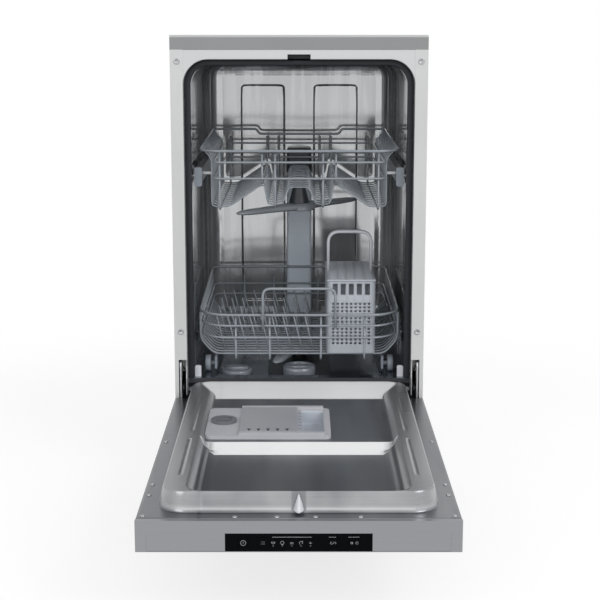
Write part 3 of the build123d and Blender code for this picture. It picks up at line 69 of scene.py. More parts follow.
print("front plane at", round(front_plane, 2), "mm")

# %% [markdown]
# ## From a grid of points to a piece
# Sheets, wires and moulded parts can all be described as a grid of points. It could be modelled by hand with
# bmesh, but a grid keeps the formula in view: neighbours in the grid become the corners of a face. A second
# number for each point, its tone, tells the finish where painted shade, painted reflections and painted
# highlights go.


# %% Grids, faces and pieces
def cells(rows, columns, close_rows=False, close_columns=False):
    """Corner numbers of every face: point (r, c) has number r * columns + c, and a closed side wraps to 0."""
    down = np.arange(rows + close_rows) % rows
    across = np.arange(columns + close_columns) % columns
    number = down[:, None] * columns + across[None, :]
    corners = [number[:-1, :-1], number[:-1, 1:], number[1:, 1:], number[1:, :-1]]
    return np.stack(corners, -1)


def surface(x, y, z, gaps=None, closed=False):
    """Points from three arrays or numbers, stretched to one grid, and its faces. `gaps` is True for faces to
    leave out, and a closed grid's last column meets its first."""
    points = np.stack(np.broadcast_arrays(x, y, z), -1)
    faces = cells(*points.shape[:2], close_columns=closed)
    return points, faces if gaps is None else faces[~gaps]


def between_lines(lines):
    """The middle between each grid line and the next."""
    return (lines[1:] + lines[:-1]) / 2


def within(lines, low, high):
    """True for each space between grid lines that lies between two values."""
    middles = between_lines(lines)
    return (middles > low) & (middles < high)


def in_scene(name, data):
    """A new object in the scene for a mesh, a light or a camera."""
    made = bpy.data.objects.new(name, data)
    bpy.context.scene.collection.objects.link(made)
    return made


def make_piece(name, grids, body, finish, stands_for=(), wall=0.0, tones=None):
    """One mesh from several grids, each a pair of (points, faces). A wall above 0 thickens it backwards.
    `tones` has one array for each grid, with a number from 0 to 1 for each point, which places painted light
    and shade."""
    starts = np.cumsum([0] + [grid.size // 3 for grid, _ in grids])
    points = to_frame(np.concatenate([grid.reshape(-1, 3) for grid, _ in grids]))
    faces = np.concatenate([corners.reshape(-1, 4) + start for (_, corners), start in zip(grids, starts)])
    mesh = bpy.data.meshes.new(name)
    mesh.from_pydata(points.tolist(), [], faces.tolist(), shade_flat=False)
    if tones is not None:
        layer = mesh.attributes.new("tone", "FLOAT", "POINT")
        layer.data.foreach_set("value", np.concatenate([tone.ravel() for tone in tones]).astype(np.float32))
    mesh.validate()
    mesh.materials.append(finish.material)
    made = in_scene(name, mesh)
    if wall:
        thicken = made.modifiers.new("wall", "SOLIDIFY")
        thicken.thickness = wall * 0.001
        thicken.offset = -1
    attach(made, body)
    if stands_for:
        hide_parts(*stands_for)
    print(name, "has", len(faces), "faces")


print("a grid of 3 x 4 points has", cells(3, 4).size // 4, "faces")

# %% [markdown]
# ## Shader maths as Python
# A finish is a colour, a roughness and a little relief that vary over the surface. Adding nodes by hand is
# slow to read, so a socket is wrapped in a small class whose operators add Math nodes, and any other node
# comes from one method.


# %% A socket that can be added and multiplied
def maths(operation, swapped=False):
    """A method that adds a Math node for two values, in their order or swapped."""

    def method(self, other):
        first, second = (other, self) if swapped else (self, other)
        return self.tree.node("ShaderNodeMath", {"operation": operation}, {0: first, 1: second})

    return method


class Value:
    """A shader socket that takes part in sums like a number."""

    def __init__(self, tree, socket):
        self.tree = tree
        self.socket = socket

    __add__ = maths("ADD")
    __radd__ = maths("ADD", swapped=True)
    __sub__ = maths("SUBTRACT")
    __rsub__ = maths("SUBTRACT", swapped=True)
    __mul__ = maths("MULTIPLY")
    __rmul__ = maths("MULTIPLY", swapped=True)
    least = maths("MINIMUM")


class Tree:
    """A node tree, with one method that adds any node to it."""

    def __init__(self, tree):
        self.tree = tree

    def node(self, kind, settings, sockets, output=0):
        """Adds a node: its settings first, then a value or a link for each named socket."""
        made = self.tree.nodes.new(kind)
        for key, value in settings.items():
            setattr(made, key, value)
        for key, value in sockets.items():
            self.feed(made.inputs[key], value)
        return Value(self, made.outputs[output])

    def feed(self, socket, value):
        if isinstance(value, Value):
            self.tree.links.new(value.socket, socket)
        else:
            socket.default_value = value

    def seen(self):
        """1 for rays that come from the camera, a mirror or glass, and 0 for those that only carry light."""
        camera_ray = self.node("ShaderNodeLightPath", {}, {}, "Is Camera Ray")
        outputs = camera_ray.socket.node.outputs
        mirror_ray = Value(self, outputs["Is Glossy Ray"])
        glass_ray = Value(self, outputs["Is Transmission Ray"])
        return (camera_ray + mirror_ray + glass_ray).least(1.0)


class Finish(Tree):
    """One material: its tree, its Principled shader and the patterns that finishes share."""

    def __init__(self, name, **constants):
        self.material = bpy.data.materials.new(name)
        self.material.use_nodes = True
        super().__init__(self.material.node_tree)
        self.shader = self.tree.nodes["Principled BSDF"]
        for socket, value in constants.items():
            self.shader.inputs[socket.replace("_", " ")].default_value = value
        self.place = self.node("ShaderNodeTexCoord", {}, {}, "Object")

    def set(self, socket, value):
        self.feed(self.shader.inputs[socket], value)
        return self

    def noise(self, scale, stretch=(1, 1, 1), detail=3.0):
        """Noise from 0 to 1 on Object coordinates: `scale` waves per metre, times `stretch` on each axis."""
        mapped = self.node("ShaderNodeMapping", {}, {"Vector": self.place, "Scale": stretch})
        sockets = {"Vector": mapped, "Scale": scale, "Detail": detail}
        return self.node("ShaderNodeTexNoise", {}, sockets)

    def step(self, value, low, high):
        """0 below `low`, 1 above `high`, smooth between."""
        sockets = {"Value": value, "From Min": low, "From Max": high}
        return self.node("ShaderNodeMapRange", {"interpolation_type": "SMOOTHSTEP"}, sockets)

    def above(self, height):
        """0 below a height in metres, and 1 from 2 mm above it."""
        level = self.node("ShaderNodeSeparateXYZ", {}, {"Vector": self.place}, "Z")
        return self.step(level, height, height + 0.002)

    def tone(self):
        """The number that the mesh keeps for each point, which places painted light and shade."""
        return self.node("ShaderNodeAttribute", {"attribute_name": "tone"}, {}, "Fac")

    def between(self, factor, low, high):
        """A colour from `low` at 0 to `high` at 1; each end is a colour or another socket."""
        ends = [end if isinstance(end, Value) else (*end, 1) for end in (low, high)]
        sockets = {0: factor, 6: ends[0], 7: ends[1]}
        return self.node("ShaderNodeMix", {"data_type": "RGBA"}, sockets, 2)

    def relief(self, height, strength, distance=0.001):
        """A Bump node on the shader's Normal."""
        sockets = {"Height": height, "Strength": strength, "Distance": distance}
        return self.set("Normal", self.node("ShaderNodeBump", {}, sockets))


print("shader maths is ready")

# %% [markdown]
# ## Steel, enamel, plastic and rubber
# The tub is bright rolled sheet whose walls carry painted reflections, dark with pale upright streaks, the
# door's inside is brushed sheet with the grain across it and painted reflections and highlights, the cabinet
# is satin enamel, and the rest is moulded plastic or rubber. Each finish is a function of a few numbers, so
# that relatives look related.


# %% Paint and steel
def shade(colour, factor):
    """The colour made darker or lighter by a factor."""
    return tuple(min(1.0, part * factor) for part in colour)


def enamel(name, colour, roughness=0.42, painted_highlight_above=10.0):
    """Satin paint on sheet: a faint orange-peel relief, cloudy colour and uneven gloss. A paler edge, a
    painted highlight on a rounded edge, may start at a height in metres."""
    made = Finish(name, Metallic=0.2, Coat_Weight=0.1)
    cloud = made.noise(9.0)
    peel = made.noise(900.0, detail=2.0)
    painted = made.between(cloud, shade(colour, 0.93), shade(colour, 1.06))
    # Above that height the colour is a paler painted highlight.
    made.set("Base Color", made.between(made.above(painted_highlight_above), painted, (0.52, 0.525, 0.53)))
    made.set("Roughness", roughness - 0.05 + 0.1 * cloud)
    return made.relief(peel, 0.04)


def brushed(name, colour, grain, roughness, streak):
    """Brushed sheet: noise drawn out along the grain changes the colour, the gloss and the relief."""
    made = Finish(name, Metallic=1.0)
    line = made.noise(420.0, stretch=grain, detail=4.0)
    cloud = made.noise(6.0)
    made.set("Base Color", made.between(line, shade(colour, 1 - streak), shade(colour, 1 + streak)))
    made.set("Roughness", roughness - 0.06 + 0.12 * line + 0.05 * cloud)
    return made.relief(line, 0.05)


def brushed_with_painted_light(name, pale, dark, grain, roughness):
    """Brushed sheet with painted light: it goes from a pale painted highlight to a dark painted reflection by
    the mesh's own tone, with fine streaks, wide clouds and soft streaks of painted reflection. Pale slopes
    scatter the light, and dark levels mirror what is round them, so Metallic follows the tone."""
    made = Finish(name)
    line = made.noise(420.0, stretch=grain, detail=4.0)
    cloud = made.noise(5.0, stretch=(1.6, 0.5, 1.0))
    tone = made.tone()
    # Soft streaks along the depth are painted reflections in the dark levels.
    painted_sheen = made.noise(16.0, stretch=(1.0, 0.1, 1.0), detail=2.0)
    colour = made.between(tone * (0.6 + 0.28 * cloud + 0.5 * painted_sheen), pale, dark)
    made.set("Base Color", made.between(0.1 * line, colour, (0.9, 0.9, 0.92)))
    made.set("Metallic", 0.1 + 0.85 * tone)
    made.set("Roughness", roughness - 0.06 + 0.12 * line)
    return made.relief(line, 0.05)


def rolled(name, pale, dark, roughness):
    """Bright rolled sheet with slow waves, which mirrors and also scatters some light. Where the tone is near
    1 a painted reflection makes it dark, with pale upright streaks and flecks that are painted reflections
    too."""
    made = Finish(name, Metallic=0.72)
    cloud = made.noise(7.0)
    wave = made.noise(6.0, stretch=(1.0, 1.0, 0.5), detail=1.0)
    # Pale upright streaks and flecks are painted reflections in the dark painted walls.
    streak = made.step(made.noise(34.0, stretch=(1.0, 1.0, 0.07), detail=4.0), 0.5, 0.6)
    painted_reflection_fleck = made.step(made.noise(70.0, stretch=(1.0, 0.6, 0.12), detail=3.0), 0.54, 0.64)
    painted_reflection_shade = made.tone() * (1.0 - 0.85 * streak) * (1.0 - 0.85 * painted_reflection_fleck)
    made.set("Base Color", made.between(painted_reflection_shade, shade(pale, 0.98), dark))
    made.set("Roughness", roughness - 0.03 + 0.07 * cloud)
    return made.relief(wave, 0.3, 0.005)


# %% Plastic and strainer sheet
def moulded(name, colour, roughness, coat=0.0, head=None, head_from=0.0, painted_slit_shade=None):
    """Moulded plastic: fine spark-eroded grain, with a slight drift of colour. A head of another colour may
    start at a height in metres, and slits may get painted shade, a colour of their own, where the mesh's tone
    is 1."""
    made = Finish(name, Coat_Weight=coat)
    drift = made.noise(12.0)
    plain = made.between(drift, shade(colour, 0.9), shade(colour, 1.08))
    if head:
        plain = made.between(made.above(head_from), plain, head)
    if painted_slit_shade:
        plain = made.between(made.tone(), plain, painted_slit_shade)
    made.set("Base Color", plain)
    made.set("Roughness", roughness - 0.06 + 0.12 * drift)
    return made.relief(made.noise(1400.0, detail=1.0), 0.06)


def pierced(name, colour, pitch):
    """Strainer sheet: a lattice of round holes, painted near-black as the shade seen through them, where the
    product of two cosines is high.
    """
    made = Finish(name, Metallic=1.0)
    split = made.node("ShaderNodeSeparateXYZ", {}, {"Vector": made.place}).socket.node
    angles = [Value(made, split.outputs[axis]) * (2 * np.pi / pitch) for axis in "XY"]
    waves = [made.node("ShaderNodeMath", {"operation": "COSINE"}, {0: angle}) for angle in angles]
    hole = made.step(waves[0] * waves[1], 0.3, 0.55)
    # The holes' near-black colour is painted shade; the sheet is not cut.
    made.set("Base Color", made.between(hole, colour, (0.01, 0.01, 0.012)))
    made.set("Roughness", 0.3 + 0.4 * hole)
    return made.relief(1.0 - hole, 0.3, 0.0005)


# %% Every finish
grain_across, grain_along, no_grain = (0.02, 1.0, 1.0), (1.0, 0.05, 1.0), (1.0, 1.0, 1.0)
# The tub's dark colour is a painted reflection, laid on by the mesh's tone.
steel_tub = rolled("steel_tub", (0.66, 0.675, 0.685), (0.018, 0.021, 0.026), 0.09)
# The liner's pale colour is a painted highlight and its dark colour a painted reflection, placed by the
# mesh's tone.
steel_liner = brushed_with_painted_light("steel_liner", (0.96, 0.96, 0.965), (0.125, 0.133, 0.147), grain_across, 0.3)
steel_plain = brushed("steel_plain", (0.55, 0.56, 0.58), grain_along, 0.3, 0.08)
# Near-black steel: the hinge brackets are painted dark as the shade in their cavity.
steel_painted_shade = brushed("steel_painted_shade", (0.03, 0.032, 0.035), grain_along, 0.4, 0.08)
steel_edge = brushed("steel_edge", (0.31, 0.315, 0.33), grain_across, 0.36, 0.05)
steel_screw = brushed("steel_screw", (0.42, 0.43, 0.44), no_grain, 0.32, 0.05)
steel_floor = brushed("steel_floor", (0.29, 0.315, 0.35), (1.0, 0.04, 1.0), 0.22, 0.1)
strainer = pierced("strainer", (0.20, 0.21, 0.23), 0.0045)
enamel_side = enamel("enamel_side", (0.66, 0.665, 0.665))
# The top rail's paler strip above 810.5 mm is a painted highlight on its rounded top edge.
enamel_top = enamel("enamel_top", (0.29, 0.295, 0.30), painted_highlight_above=0.8105)
enamel_back = enamel("enamel_back", (0.40, 0.41, 0.42), 0.5)
plastic_black = moulded("plastic_black", (0.012, 0.013, 0.015), 0.4)
plastic_dark = moulded("plastic_dark", (0.045, 0.050, 0.058), 0.36, 0.1)
plastic_duct = moulded("plastic_duct", (0.76, 0.84, 0.94), 0.3, 0.2, (0.01, 0.011, 0.013), 0.497)
plastic_cap = moulded("plastic_cap", (0.15, 0.155, 0.17), 0.34, 0.1)
# The arm's near-black slit colour is painted shade in the jets.
plastic_arm = moulded("plastic_arm", (0.30, 0.32, 0.35), 0.34, 0.1, painted_slit_shade=(0.006, 0.006, 0.008))
plastic_grey = moulded("plastic_grey", (0.22, 0.245, 0.28), 0.4, 0.1)
plastic_gloss = moulded("plastic_gloss", (0.20, 0.22, 0.25), 0.18, 0.6)
plastic_pale = moulded("plastic_pale", (0.46, 0.49, 0.54), 0.4, 0.1)
plastic_drawer = moulded("plastic_drawer", (0.47, 0.475, 0.505), 0.36, 0.1)
plastic_lid = moulded("plastic_lid", (0.35, 0.355, 0.38), 0.32, 0.2)
plastic_white = moulded("plastic_white", (0.70, 0.71, 0.76), 0.4, 0.1)
plastic_blue = moulded("plastic_blue", (0.03, 0.10, 0.38), 0.4)
nylon_wire = moulded("nylon_wire", (0.30, 0.33, 0.365), 0.26, 0.3)
rubber_black = moulded("rubber_black", (0.006, 0.007, 0.012), 0.5)
glass_black = moulded("glass_black", (0.003, 0.004, 0.005), 0.14)
glass_black.set("Specular IOR Level", 0.02)
mark_white = moulded("mark_white", (0.34, 0.35, 0.37), 0.5)
mark_faint = moulded("mark_faint", (0.10, 0.11, 0.12), 0.5)
board_green = moulded("board_green", (0.02, 0.12, 0.05), 0.5)
print(len(bpy.data.materials), "finishes")

# %% [markdown]
# ## Finishes for the solids that stay
# Most hidden works and many plain sheets already have their true form, so they only get a finish. A CAD
# object keeps its mesh; its material slot is changed.

# %% Dress the CAD nodes
finish_of = {
    steel_plain: "hinge_arms door_springs roller_brackets upper_rails",
    # The hinge brackets carry painted shade for their cavity.
    steel_painted_shade: "hinge_brackets",
    steel_screw: "strip_screws",
    steel_tub: "tub_wrapper tub_back",
    steel_floor: "tub_floor",
    steel_liner: "door_liner",
    steel_edge: "control_fascia",
    strainer: "filter_plate",
    enamel_side: "side_panel_left side_panel_right",
    enamel_top: "top_front_rail top_cover",
    enamel_back: "rear_panel door_outer",
    plastic_black: "base_tray kick_plate levelling_feet sump water_softener latch_housing mains_gland",
    plastic_dark: "circulation_pump drain_pump feed_pipe",
    plastic_duct: "water_duct",
    plastic_arm: "upper_spray_arm lower_spray_arm",
    plastic_grey: "rail_end_caps drain_outlet inlet_valve wheel_carriers",
    plastic_cap: "rinse_aid_cap",
    plastic_gloss: "coarse_filter salt_cap",
    plastic_pale: "cutlery_basket cutlery_lid wheels_front wheels_rear",
    plastic_drawer: "dispenser_body",
    plastic_lid: "detergent_lid",
    plastic_white: "seal_end_blocks door_striker air_break_chamber rollers_front rollers_rear",
    nylon_wire: "upper_basket lower_basket plate_tines",
    rubber_black: "tub_gasket sill_seal",
    glass_black: "control_window power_button programme_button extra_button start_button",
    board_green: "control_board",
}
for finish, names in finish_of.items():
    for name in names.split():
        nodes[name].data.materials.clear()
        nodes[name].data.materials.append(finish.material)
dressed = sum(len(names.split()) for names in finish_of.values())
print("dressed", dressed, "of", len(nodes), "nodes")

# %% [markdown]
# ## The pressed tub
# The tub's mouth, walls and back are folded from bright sheet: a flange round the front, a channel for the
# seal, straight walls and a rounded back corner. An outline that is an arch at every depth, with its own half
# width, height and corner, gives the whole shell as one grid.


# %% Arch outlines
hinge_slot_top = 238.0


def spread(*stops):
    """Grid lines between stops, each given as (start, end, count)."""
    return np.unique(np.concatenate([np.linspace(*stop) for stop in stops]))


def arch(half, top, corner, foot, notch):
    """Up the left side, round a quarter circle, along the top and down the right: columns of one grid row.
    Fixed columns at -notch and notch, and at the hinge slot's top, let holes be left out there."""
    turn = np.linspace(0, np.pi / 2, 12)[1:]
    rise = spread((foot, hinge_slot_top, 3), (hinge_slot_top, top - corner, 12))
    across = spread((-half + corner, -notch, 9), (-notch, 0, 4))[1:]
    x = np.concatenate([np.full_like(rise, -half), -half + corner - corner * np.cos(turn), across])
    z = np.concatenate([rise, top - corner + corner * np.sin(turn), np.full_like(across, top)])
    halfway = np.stack([x, z], 1)
    return np.concatenate([halfway, halfway[-2::-1] * (-1, 1)])


def arch_rows(stations, foot, notch):
    """A grid whose rows are arches: each station is (depth, half width, top, corner radius)."""
    rows = [np.insert(arch(half, top, corner, foot, notch), 1, d, 1) for d, half, top, corner in stations]
    return np.stack(rows)


def drawn_in(outline, steps):
    """Stations from an outline of (half width, top, corner): each step gives a depth, how far the sides and
    the top are drawn in there, and how much smaller the corner is."""
    half, top, corner = outline
    return [(depth, half - inset, top - inset, corner - less) for depth, inset, less in steps]


print("an arch has", len(arch(200, 770, 40, 170, 20)), "points")

# %% Tub shell
latch_half, tub_foot = 20.0, 172.0
mouth, wall = (202.0, 773.0, 44.0), (194.0, 764.0, 40.0)
back_depth, back_bend = 470.0, 34.0
flange_rows = [(1.0, 222.7, 789.7, 6.0), (1.0, 212.0, 782.0, 20.0)]
channel_steps = [(1.0, -2.0, 0), (1.2, -0.6, -0.4), (2.0, 0, 0), (30.5, 0, 0)]
channel_steps = channel_steps + [(31.6, 0.4, 0.4), (32.0, 1.5, 1.0)]
wall_steps = [(32.0, -2.0, -1.5), (32.4, -0.5, -0.5), (33.5, 0, 0)]
wall_steps = wall_steps + [(depth, 0, 0) for depth in (90, 150, 210, 270, 330, 390, 428)]
seam_steps = [(429, 0.4, 0.2), (430, 0.5, 0.3), (431, 0.1, 0.1)]
bend_angles = np.linspace(0, np.pi / 2, 9)
bend_inset = back_bend * (1 - np.cos(bend_angles))
bend_depth = back_depth - back_bend + back_bend * np.sin(bend_angles)
bend_steps = list(zip(bend_depth, bend_inset, bend_inset))
front_rows = flange_rows + drawn_in(mouth, channel_steps)
wall_rows = drawn_in(wall, wall_steps + seam_steps + bend_steps)
shell = arch_rows(front_rows + wall_rows, tub_foot, latch_half)
last_flange_row, last_latch_row = 1, 5
row_number = np.arange(len(shell) - 1)[:, None]
at_latch = (row_number > 0) & (row_number <= last_latch_row) & within(shell[0, :, 0], -latch_half, latch_half)
beside_hinge = (shell[:-1, :-1, 2] + shell[:-1, 1:, 2]) / 2 < hinge_slot_top
opening = at_latch | ((row_number <= last_flange_row) & beside_hinge)
shell_faces = cells(*shell.shape[:2])[~opening][..., ::-1]
print("tub shell rows and columns:", shell.shape[:2], "faces left out for slots:", int(opening.sum()))

# %% [markdown]
# ## The tub's back wall
# Two tall upright panels are pressed into the back. They could be cut and bevelled by hand; as a height field
# the pressed depth is a smooth step of the distance to a rounded rectangle, and the same distance puts
# painted shade in the thin groove round each panel.


# %% Smooth steps and rounded rectangles
def ease(value):
    """0 below 0, 1 above 1, and 3t^2 - 2t^3 between."""
    t = np.clip(value, 0.0, 1.0)
    return t * t * (3 - 2 * t)


def hump(value, width):
    """1 at 0 and falling to nothing about two widths away, as exp(-(v / w)^2)."""
    return np.exp(-((value / width) ** 2))


def inside(x, y, middle, half, corner):
    """Distance to the edge of a rounded rectangle, positive inside."""
    over_x = np.abs(x - middle[0]) - (half[0] - corner)
    over_y = np.abs(y - middle[1]) - (half[1] - corner)
    outer = np.hypot(np.maximum(over_x, 0), np.maximum(over_y, 0))
    return corner - outer - np.minimum(np.maximum(over_x, over_y), 0)


print("the middle of a square of 20 mm is", inside(0, 0, (0, 0), (10, 10), 2), "mm from its edge")

# %% Back wall, and the painted reflections and shade of the shell
panel_left, panel_right, panel_foot, panel_top, panel_corner = 31.0, 121.0, 250.0, 708.0, 9.0
press_depth = 2.6
half_x = spread((0, 26, 4), (26, 36, 15), (36, 116, 9), (116, 126, 15), (126, wall[0] - back_bend + 0.5, 7))
back_x = np.concatenate([-half_x[:0:-1], half_x])
back_z = spread((tub_foot, 245, 8), (245, 255, 15), (255, 703, 24), (703, 713, 15), (713, 726, 4),
                (726, 730.5, 8))
wall_x, wall_z = np.meshgrid(back_x, back_z)
panel_middle = ((panel_left + panel_right) / 2, (panel_foot + panel_top) / 2)
panel_half = ((panel_right - panel_left) / 2, (panel_top - panel_foot) / 2)
edge_distance = inside(np.abs(wall_x), wall_z, panel_middle, panel_half, panel_corner)
back_wall = surface(wall_x, back_depth + press_depth * ease(edge_distance / 4 + 0.5), wall_z)
# Painted shade: the groove round each panel, the line at the top bend, and a little over the back, more at
# its foot.
groove = np.maximum(hump(edge_distance - 1.2, 1.5), 0.8 * hump(wall_z - 729, 1.1))
back_wall_painted_shade = np.maximum(0.97 * groove, 0.1 + 0.3 * hump(wall_z - 190, 60))
# Painted reflections: dark side walls, lighter near the back corners, and a darker top.
past_seal = ease((shell[..., 1] - 30) / 8)
near_back = ease((shell[..., 1] - 418) / 24)
on_side = ease((np.abs(shell[..., 0]) - 176) / 14) * past_seal * (1 - 0.72 * near_back)
in_corner = ease((shell[..., 2] - 722) / 14) * past_seal * 0.35
shell_painted_reflection = np.clip(np.maximum(on_side, in_corner), 0, 1)
make_piece("tub_shell", [(shell, shell_faces), back_wall], "cabinet", steel_tub,
           ("tub_wrapper", "tub_back"), tones=[shell_painted_reflection, back_wall_painted_shade])

# %% [markdown]
# ## The door seal
# A soft black bulb runs in the channel round the mouth. Its section is a closed round profile, and the same
# arch carries it.


# %% Gasket
def rounded(angle, power):
    """Cosine and sine to a power: below 1 it makes a circle squarer, above 1 it pinches it."""
    return [np.sign(f(angle)) * np.abs(f(angle)) ** power for f in (np.cos, np.sin)]


bulb = np.linspace(0, 2 * np.pi, 20, endpoint=False)
bulb_cosine, bulb_sine = rounded(bulb, 0.7)
gasket_foot, middle_depth, middle_inset, half_depth, half_inset = 197.5, 28.4, 5.8, 3.5, 5.4
bulb_depth, bulb_inset = middle_depth + half_depth * bulb_cosine, middle_inset + half_inset * bulb_sine
gasket = arch_rows(drawn_in(mouth, zip(bulb_depth, bulb_inset, bulb_inset)), gasket_foot, latch_half)
ring = (gasket, cells(*gasket.shape[:2], close_rows=True))
make_piece("gasket_bulb", [ring], "cabinet", rubber_black, ("tub_gasket",))

# %% [markdown]
# ## The door's pressed inside
# One sheet is drawn into a raised rim, a long ramp at the hinge, a shallow level for the dispenser and a
# deeper basin. It could be boxes with bevels, but a drawn sheet has no sharp edges: a height field adds one
# step for each level, and the two slopes that face the front flare out at their tops. Level floors get a dark
# painted reflection of the tub, so the tone is near 1 there, and slopes to the front get a pale painted
# highlight. The faces under the dispenser are left out, because its chambers go down through the sheet.

# %% Grid of the door's inside
half_liner = spread((0, 14, 15), (14, 140, 17), (140, 160, 22), (160, 190, 31), (190, 201, 20),
                    (201, 223.4, 8))
dispenser_flange = 10.0
body_low, body_high = extent("dispenser_body")
cut_low, cut_high = body_low + dispenser_flange, body_high - dispenser_flange
liner_x = np.unique(np.concatenate([-half_liner, half_liner, [cut_low[0], cut_high[0]]]))
liner_y = spread((-597, -577, 5), (-577, -540, 52), (-540, -345, 40), (-345, -305, 41), (-305, -95, 38),
                 (-95, 2, 50), (2, 18, 24), (18, 56, 5))
liner_y = np.union1d(liner_y, [cut_low[1], cut_high[1]])
lx, ly = np.meshgrid(liner_x, liner_y)
print("the door's inside has", lx.size, "points")

# %% Levels of the door's inside
flange_height, rim_rise = 168.0, 29.0
dish_depth, basin_depth, track_depth = 12.0, 13.0, 0.5
near_edge, far_edge = -575.0, 16.0
rim_middle = (0, (near_edge + far_edge) / 2)
rim_half = (199, (far_edge - near_edge) / 2)
rim = ease(inside(lx, ly, rim_middle, rim_half, 42) / 9)
ramp_near, ramp_far, ramp_flare = -70.0, 15.0, 27.0
in_dish_x = np.abs(lx) - ramp_flare * ease((ly - ramp_near) / (ramp_far - ramp_near))
dish_edge = inside(in_dish_x, ly, (0, -271), (158, 296), 26)
dish = ease(dish_edge / dish_depth) * np.clip((ramp_far - ly) / (ramp_far - ramp_near), 0, 1)
basin_near, basin_far, basin_slope, basin_flare = -561.0, -312.0, 24.0, 14.0
in_basin_x = np.abs(lx) - basin_flare * ease((ly - basin_far + basin_slope) / basin_slope)
basin_edge = inside(in_basin_x, ly, (0, basin_near / 2), (147, -basin_near / 2), 24)
basin = ease(basin_edge / basin_depth) * np.clip((basin_far - ly) / basin_slope, 0, 1)
track = np.zeros_like(lx)
for start, end in ((-500, -330), (-290, -100)):
    channel = inside(np.abs(lx), ly, (170, (start + end) / 2), (3.5, (end - start) / 2), 3)
    track = np.maximum(track, ease(channel / 2.5))
height = flange_height + rim_rise * rim - dish_depth * dish - basin_depth * basin - track_depth * track
print("its heights go from", round(height.min(), 1), "to", round(height.max(), 1), "mm")

# %% Painted light and shade, and the sheet of the door's inside
# The tone paints light and shade into the liner's colour: near 1 a dark painted reflection, near 0 a pale
# painted highlight.
slope_y = np.gradient(height, axis=0) / np.gradient(ly, axis=0)
slope_x = np.abs(np.gradient(height, axis=1) / np.gradient(lx, axis=1))
steep = ease((slope_y - 0.25) / 0.2)
band_end = ease((152 - np.abs(lx)) / 22)
# Slopes that face the front stay at tone 0, a pale painted highlight; the steep basin slope gets a little
# painted shade.
faces_front = ease((slope_y - 0.07) / 0.05) * (1 - steep * (1 - band_end))
not_front, off_dish, on_rim = 1 - faces_front, 1 - ease(dish * 4), ease(rim * 3)
# Level floors, the rim's plateau and the flange get dark painted reflections; sideways slopes, the small
# recess and the rim, darker towards the door's free edge, get painted shade.
level_painted_reflection = 0.945 * ease((dish - 0.5) / 0.4) * not_front
steep_painted_shade = 0.2 * steep
side_painted_shade = 0.66 * ease((slope_x - 0.25) / 0.4) * not_front
plateau_painted_reflection = 0.82 * ease((rim - 0.5) / 0.5) * off_dish * not_front
flange_painted_reflection = 1 - on_rim
recess = inside(lx, ly, (0, -570), (10.5, 9), 2)
recess_painted_shade = 0.9 * ease(recess / 1.5 + 0.5)
rim_painted_shade_by_depth = 0.14 + 0.46 * ease((-200 - ly) / 200) + 0.17 * ease((-545 - ly) / 20)
rim_painted_shade = rim_painted_shade_by_depth * on_rim * off_dish
painted_shading_layers = [level_painted_reflection, steep_painted_shade, side_painted_shade, plateau_painted_reflection, flange_painted_reflection, recess_painted_shade, rim_painted_shade]
liner_painted_shading = np.clip(np.max(painted_shading_layers, axis=0), 0, 1)
cut_x = within(liner_x, cut_low[0], cut_high[0])
cut_y = within(liner_y, cut_low[1], cut_high[1])
tail_start, tail_half = -2.0, 206.0
tail = np.where(ly > tail_start, np.clip(lx, -tail_half, tail_half), lx)
liner = surface(tail, ly, height, cut_y[:, None] & cut_x)
make_piece("liner_sheet", [liner], "door", steel_liner, ("door_liner",), wall=0.8,
           tones=[liner_painted_shading])

# %% [markdown]
# ## Turned pieces
# Screw heads, wheels, the filter's cup and the salt cap are round. A profile of (radius, distance along the
# axis) is turned about its axis, as on a lathe, and the grid closes on itself.


# %% Lathe
def turned(profile, centre, axis, sides=28):
    """Points C + h A + r (cos a U + sin a V) for every (r, h) of the profile and every angle a."""
    directions = np.eye(3)
    along, side, up = directions[axis], directions[(axis + 1) % 3], directions[(axis + 2) % 3]
    angle = np.linspace(0, 2 * np.pi, sides, endpoint=False)[None, :, None]
    radius, height = np.asarray(profile, float).T[:, :, None, None]
    points = np.asarray(centre, float) + height * along + radius * (np.cos(angle) * side + np.sin(angle) * up)
    return points, cells(len(profile), sides, close_columns=True)


strip_x, head_height = 212, 1.6
ring_head = [(0, 1.2), (2.2, 1.2), (2.8, 0.7), (3.1, 0.1), (4.6, 0.0), (5.3, 0.4), (5.4, 1.0)]
ring_head = ring_head + [(5.4, head_height), (0, head_height)]
ring_screws = [turned(ring_head, (x, -head_height, z), 1) for x in (-strip_x, strip_x) for z in (290, 770)]
make_piece("ring_screws", ring_screws, "cabinet", steel_screw, ("strip_screws",))

# %% Screws in the door's flange
pan_head = [(3.4, 0.0), (3.3, 0.7), (2.6, 1.2), (1.2, 1.35), (1.1, 0.9), (0, 0.9)]
flange_x, flange_y = 215, -590
flange_places = [(x, y) for x in (-flange_x, flange_x) for y in (-586, -504, -460, -258)]
flange_places = flange_places + [(x, flange_y) for x in (-88, -30, 23, 85)]
flange_screws = [turned(pan_head, (x, y, flange_height), 2, 16) for x, y in flange_places]
make_piece("flange_screws", flange_screws, "door", steel_screw)

# %% [markdown]
# ## Bent wire
# The racks are bent from round wire and dipped in nylon. A Blender curve with a bevel would do, but the same
# few lines of numpy serve every wire and band: soften the corners of a path, then carry a ring along it.


